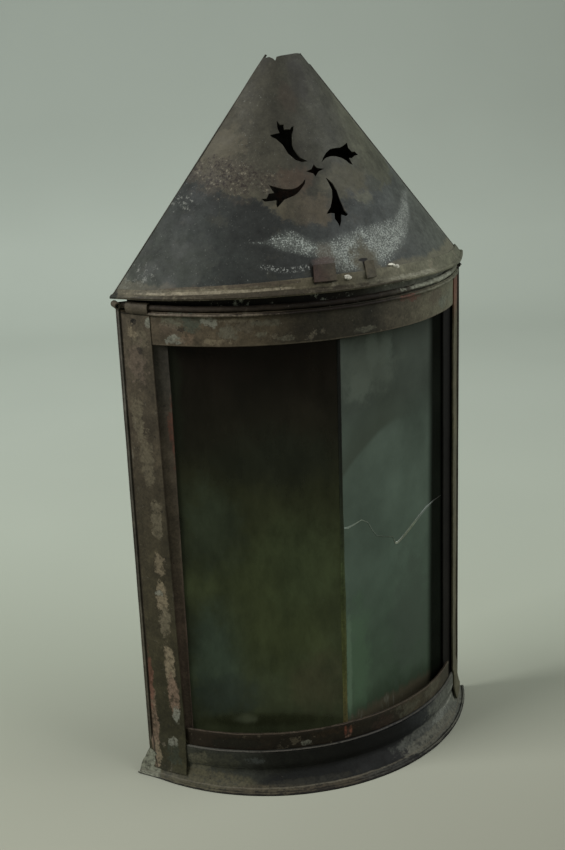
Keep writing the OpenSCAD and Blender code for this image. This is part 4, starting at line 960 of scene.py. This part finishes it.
# Painted shadow of the right stile, with its reflection: near black along the pane's right edge.
stile_shadow = right_glass.spread(right_glass.sums("SUBTRACT", right_glass.axis("X", 0, 80), right_glass.spread(right_glass.height, 0, 1, 0.805, 0.83)), -0.035, 0.03)
right_glass.lay((0.0015, 0.0015, 0.001), stile_shadow, 0.98)
left_glass.lay((0.012, 0.015, 0.009), left_glass.spread(left_glass.sums("ADD", left_glass.axis("X", -80, 0), left_glass.spread(left_glass.cloud, 0.3, 0.7, -0.04, 0.04)), 0.13, 0.05), 0.7)
smears = left_glass.noise(11, 6, 0.66, place=left_glass.moved(size=(1, 1, 2.2)))
left_glass.veil = left_glass.shade(left_glass.veil, smears, 0.66, 1.4)
specks = left_glass.both(left_glass.spread(left_glass.noise(1.6, 3, 0.6), 0.68, 0.74), left_glass.spread(left_glass.noise(30, 3), 0.5, 0.62))
left_glass.lay((0.06, 0.065, 0.055), specks, 0.7)
left_glass.lay((0.1, 0.11, 0.09), left_glass.spot((-77, -15, 154), (1.6, 9, 1.4), 0.4, 3, 0.3), 0.8)
carry(pane(-1, "left_glass"), "body", left_glass.finish(), ["left_pane"])
carry(pane(1, "right_glass"), "body", right_glass.finish(), ["right_pane"])

# %% Putty in the joint
putty_paint = worn("olive putty in the joint", [(12, (0.06, 0.045, 0.018)), (60, (0.045, 0.05, 0.014)), (110, (0.03, 0.042, 0.014)), (150, (0.008, 0.011, 0.005)), (190, (0.002, 0.0028, 0.0015)), (250, (0.0015, 0.002, 0.001))], (12, 250), "Z", much=0.0, flecks=(0.03, 0.03, 0.01), dust=0.05)
rings = []
for p in fill([(0, 12.9), (0, 249.1)], 3):
    sway = 0.35 * noise.noise(Vector((5.5, 0, p.y / 9)))
    wide = min(1.0, max(0.2, (160 - p.y) / 60)) + sway
    corners = [(-1, 0.9 + 0.5 * wide, 0.02), (-1, 0.5, -0.15), (1, 0.5, -0.15), (1, 0.9 + 0.8 * wide, 0.02), (1, 1.1, 0.9), (-1, 1.1, 0.9)]
    rings.append([on_glass(side, s, t, p.y) for side, s, t in corners])
carry(clean(loft("joint_putty", rings)), "body", putty_paint)

# %% The crack
crack_line = [(1.5, 137.9, 0.7), (4.5, 137.1, 0.85), (8, 137.2, 0.6), (15, 138.0, 0.35), (20, 135, 0.45), (24, 129, 0.4), (27, 125.6, 0.3), (34, 122.6, 0.25), (40, 120.6, 0.3), (42, 116.2, 0.8), (44.5, 115.9, 1.0), (49, 117.6, 1.2), (55, 120.6, 1.4), (62, 124.4, 1.3), (69, 127.8, 1.0), (75, 129.8, 0.4), (82, 131, 0.2)]
# The crack's colours are painted highlights and reflections: bright where its broken faces catch the light, dark
# between.
crack_paint = Finish("painted glints on the broken edge", 0.3, Specular_IOR_Level=0.5)
light_run = [(0, (0.14, 0.18, 0.15)), (9, (0.15, 0.18, 0.14)), (14, (0.09, 0.11, 0.085)), (22, (0.1, 0.125, 0.1)), (26, (0.045, 0.06, 0.045)), (36, (0.06, 0.075, 0.052)), (38.5, (0.2, 0.22, 0.17)), (41.5, (0.085, 0.1, 0.068)), (52, (0.085, 0.105, 0.07)), (58, (0.1, 0.125, 0.105)), (63, (0.085, 0.105, 0.09)), (69, (0.008, 0.008, 0.006))]
crack_glints = crack_paint.ramp(crack_paint.axis("X", 0, 75), [(x / 75, colour) for x, colour in light_run])
crack_glints = crack_paint.shade(crack_glints, crack_paint.noise(3.5, 5, 0.65), 0.55, 1.5)
rings = []
for s, z, half in crack_line:
    rings.append([on_glass(1, s, t, z + half * side) for t, side in ((0.3, -1), (-0.06, -0.5), (-0.04, 0.6), (0.3, 1))])
carry(clean(loft("pane_crack", rings)), "body", crack_paint.done(crack_glints))

# %% [markdown]
# ## Handle, tabs and solder
#
# A strap handle sits on the back. Its edges are rolled over a wire, so a hand can carry it.

# %% Handle
strap_paint = worn("worn paint on the handle", [(60, (0.055, 0.048, 0.034)), (200, (0.05, 0.045, 0.033))], (60, 200), "Z", much=0.6)
low_arm, high_arm, reach, corner, strap = 80.0, 180.0, 32.0, 12.0, 1.6
path = [(0.8, 68), (0.8, low_arm - 1)]
path += [(reach - corner + (corner - 0.8) * math.sin(math.radians(a)), low_arm + corner - (corner - 0.8) * math.cos(math.radians(a))) for a in range(0, 91, 10)]
path += [(reach - corner + (corner - 0.8) * math.cos(math.radians(a)), high_arm - corner + (corner - 0.8) * math.sin(math.radians(a))) for a in range(0, 91, 10)]
path += [(0.8, high_arm + 1), (0.8, 192)]
strap_points = fill(path, 3)
strap_outline = [(-11, 0.0), (-10.4, 0.8), (-9.4, 0.75), (-8.6, 0.3), (8.6, 0.3), (9.4, 0.75), (10.4, 0.8), (11, 0.0), (10.4, -0.8), (9.4, -0.75), (8.6, -0.35), (-8.6, -0.35), (-9.4, -0.75), (-10.4, -0.8)]
rings = []
for i, p in enumerate(strap_points):
    along_path = (strap_points[min(i + 1, len(strap_points) - 1)] - strap_points[max(i - 1, 0)]).normalized()
    out = Vector((along_path.y, -along_path.x))
    rings.append([(x * MM, back_y + (p.x + out.x * h) * MM, (p.y + out.y * h) * MM) for x, h in strap_outline])
carry(clean(loft("strap_handle", rings)), "body", strap_paint, ["back_handle"])

# %% Front tabs
tab_paint = worn("brown-red tab", [(-14, (0.034, 0.021, 0.0155)), (-4, (0.046, 0.038, 0.026)), (20, (0.056, 0.05, 0.033))], (-14, 20), flecks=(0.075, 0.055, 0.042), much=0.6)


def front_tab(name, x, width, curl, top, skew, node):
    """Small plate that leans on the cone, with its lower corners curled."""
    shrink = (APEX - top) / APEX
    depth = CONE[1] * shrink
    r = ((CONE[0] * shrink) ** 2 + depth ** 2) / (2 * depth)
    place = roof_frame @ Matrix.Translation((0, (r - depth) * MM, top * MM)) @ Matrix.Rotation(math.asin(x / r), 4, "Z") @ Matrix.Translation((0, -r * MM, 0)) @ Matrix.Rotation(math.radians(60), 4, "X")
    rings = []
    for i in range(9):
        across_tab = -1 + i / 4
        outline = []
        for low_to_high, high_side in ((range(7), 0.0), (range(6, -1, -1), 0.8)):
            for j in low_to_high:
                down = -8.6 * j / 6
                bow_out = curl * (across_tab ** 2) * (j / 6) ** 2 + 0.15 * noise.noise(Vector((i * 0.6, j * 0.6, x)))
                outline.append(place @ (Vector((across_tab * width / 2 - skew * j / 6, down, high_side + bow_out)) * MM))
        rings.append(outline)
    return carry(clean(loft(name, rings)), "roof", tab_paint, [node])


front_tab("left_tab_sheet", -8.2, 10.8, 0.4, 9.4, 1.5, "left_front_tab")
front_tab("right_tab_sheet", 15.2, 5.0, 0.3, 8.6, 1.9, "right_front_tab")

# %% [markdown]
# ## Beads of solder
#
# Where a tinsmith's iron has touched, a bead is left. The beads repeat, so a second tree puts
# a lump on each point of a small mesh, each with its own size, and flattens it a little.

# %% Build the solder tree
beads = bpy.data.node_groups.new("beads of solder", "GeometryNodeTree")
beads.interface.new_socket("Places", in_out="INPUT", socket_type="NodeSocketGeometry")
for label, kind, value in (("Bead Size", "Float", 0.0012), ("Lump Size", "Float", 0.002), ("Seed", "Int", 4), ("Finish", "Material", None)):
    socket = beads.interface.new_socket(label, in_out="INPUT", socket_type="NodeSocket" + kind)
    if value is not None:
        socket.default_value = value
beads.interface.new_socket("Solder", in_out="OUTPUT", socket_type="NodeSocketGeometry")
given = add(beads, "NodeGroupInput").outputs
lump = add(beads, "GeometryNodeMeshIcoSphere", {"Radius": given["Bead Size"], "Subdivisions": 4})
scales = add(beads, "FunctionNodeRandomValue", {"Seed": given["Seed"]}, data_type="FLOAT_VECTOR")
scales.inputs[0].default_value, scales.inputs[1].default_value = (0.7, 0.7, 0.5), (1.5, 1.1, 0.95)
spread_out = add(beads, "GeometryNodeInstanceOnPoints", {"Points": given["Places"], "Instance": lump.outputs[0], "Scale": scales.outputs[0]})
real = add(beads, "GeometryNodeRealizeInstances", {0: spread_out.outputs[0]})
clouds = add(beads, "ShaderNodeTexNoise", {"W": given["Seed"], "Scale": add(beads, "ShaderNodeMath", {0: 1.0, 1: given["Lump Size"]}, operation="DIVIDE").outputs[0]}, noise_dimensions="4D")
push = add(beads, "ShaderNodeVectorMath", {0: add(beads, "ShaderNodeVectorMath", {0: clouds.outputs[1], 1: (0.5, 0.5, 0.5)}, operation="SUBTRACT").outputs[0], 3: given["Bead Size"]}, operation="SCALE")
lumpy = add(beads, "GeometryNodeSetPosition", {"Geometry": real.outputs[0], "Offset": push.outputs[0]})
coated = add(beads, "GeometryNodeSetMaterial", {"Geometry": lumpy.outputs[0], "Material": given["Finish"]})
add(beads, "NodeGroupOutput", {0: coated.outputs[0]})
bead_inputs = {item.name: item.identifier for item in beads.interface.items_tree if item.in_out == "INPUT"}


# %% Drop the beads
def solder(name, body, places, size, seed, finish):
    mesh = bpy.data.meshes.new(name)
    mesh.from_pydata(places, [], [])
    drops = bpy.data.objects.new(name, mesh)
    bpy.context.scene.collection.objects.link(drops)
    modifier = drops.modifiers.new("beads", "NODES")
    modifier.node_group = beads
    for label, value in {"Bead Size": size * MM, "Lump Size": 2.2 * MM, "Seed": seed, "Finish": finish}.items():
        modifier[bead_inputs[label]] = value
    carry(clean(freeze(drops)), body)


def on_cone(x, h, out=0.0):
    """Point on the cone's face, in the body's frame."""
    small = (APEX - h) / APEX
    depth = CONE[1] * small
    r = ((CONE[0] * small) ** 2 + depth ** 2) / (2 * depth)
    return roof_frame @ (Vector((x, r - depth - math.sqrt(r * r - x * x) - out, h)) * MM)


bright = worn("bright solder", [(-30, (0.45, 0.44, 0.37)), (30, (0.5, 0.49, 0.42))], (-30, 30), flecks=(0.3, 0.29, 0.24), much=0.3, dust=0.2)
dull = worn("dull solder", [(-100, (0.075, 0.074, 0.062)), (100, (0.08, 0.078, 0.066))], flecks=(0.14, 0.135, 0.115), much=0.5)
solder("front_solder", "roof", [on_cone(1.6, 3.4, 0.5), on_cone(0.9, 2.7, 0.7), on_cone(2.2, 2.6, 0.6), on_cone(27.4, 5.6, 0.3), on_cone(28.8, 5.0, 0.4), on_cone(30.8, 4.2, 0.4)], 1.15, 4, bright)
seam = [roof_frame @ (Vector((side * (APEX - h) / APEX * 92.6, -0.2, h)) * MM) for side in (-1, 1) for h in (9, 16, 24.5, 31, 40, 52, 61, 73, 86)]
solder("seam_solder", "roof", seam, 1.1, 9, dull)
foot_points = [(x * MM, back_y + 1.1 * MM, z * MM) for z in (67.2, 192.8) for x in (-10.4, -6.5, -2, 2.8, 7.1, 10.6)]
solder("handle_solder", "body", foot_points, 1.4, 6, dull)

# %% Finishes for the solids that stay
iron = worn("dull iron", [(-100, (0.05, 0.046, 0.038)), (100, (0.05, 0.046, 0.038))], much=0.4)
tin = worn("dull tin", [(-30, (0.07, 0.066, 0.05)), (30, (0.075, 0.07, 0.055))], (-30, 30), much=0.5, flecks=(0.15, 0.13, 0.1))
joint_paint = worn("olive putty in the joint", [(12, (0.06, 0.05, 0.012)), (90, (0.045, 0.05, 0.012)), (150, (0.02, 0.022, 0.01)), (250, (0.006, 0.006, 0.005))], (12, 250), "Z", much=0.3, flecks=(0.1, 0.09, 0.03))
stays = {"floor_plate": inner_iron, "pane_joint_strip": joint_paint, "drip_pan": tin, "candle_socket": tin, "left_lower_leaf": iron, "right_lower_leaf": iron,
         "left_hinge_pin": iron, "right_hinge_pin": iron, "roof_back": back_paint, "left_upper_leaf": iron, "right_upper_leaf": iron}
for name, finish in stays.items():
    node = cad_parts[name]
    node.data.materials.clear()
    node.data.materials.append(finish)
print("finishes on", len(stays), "solids")
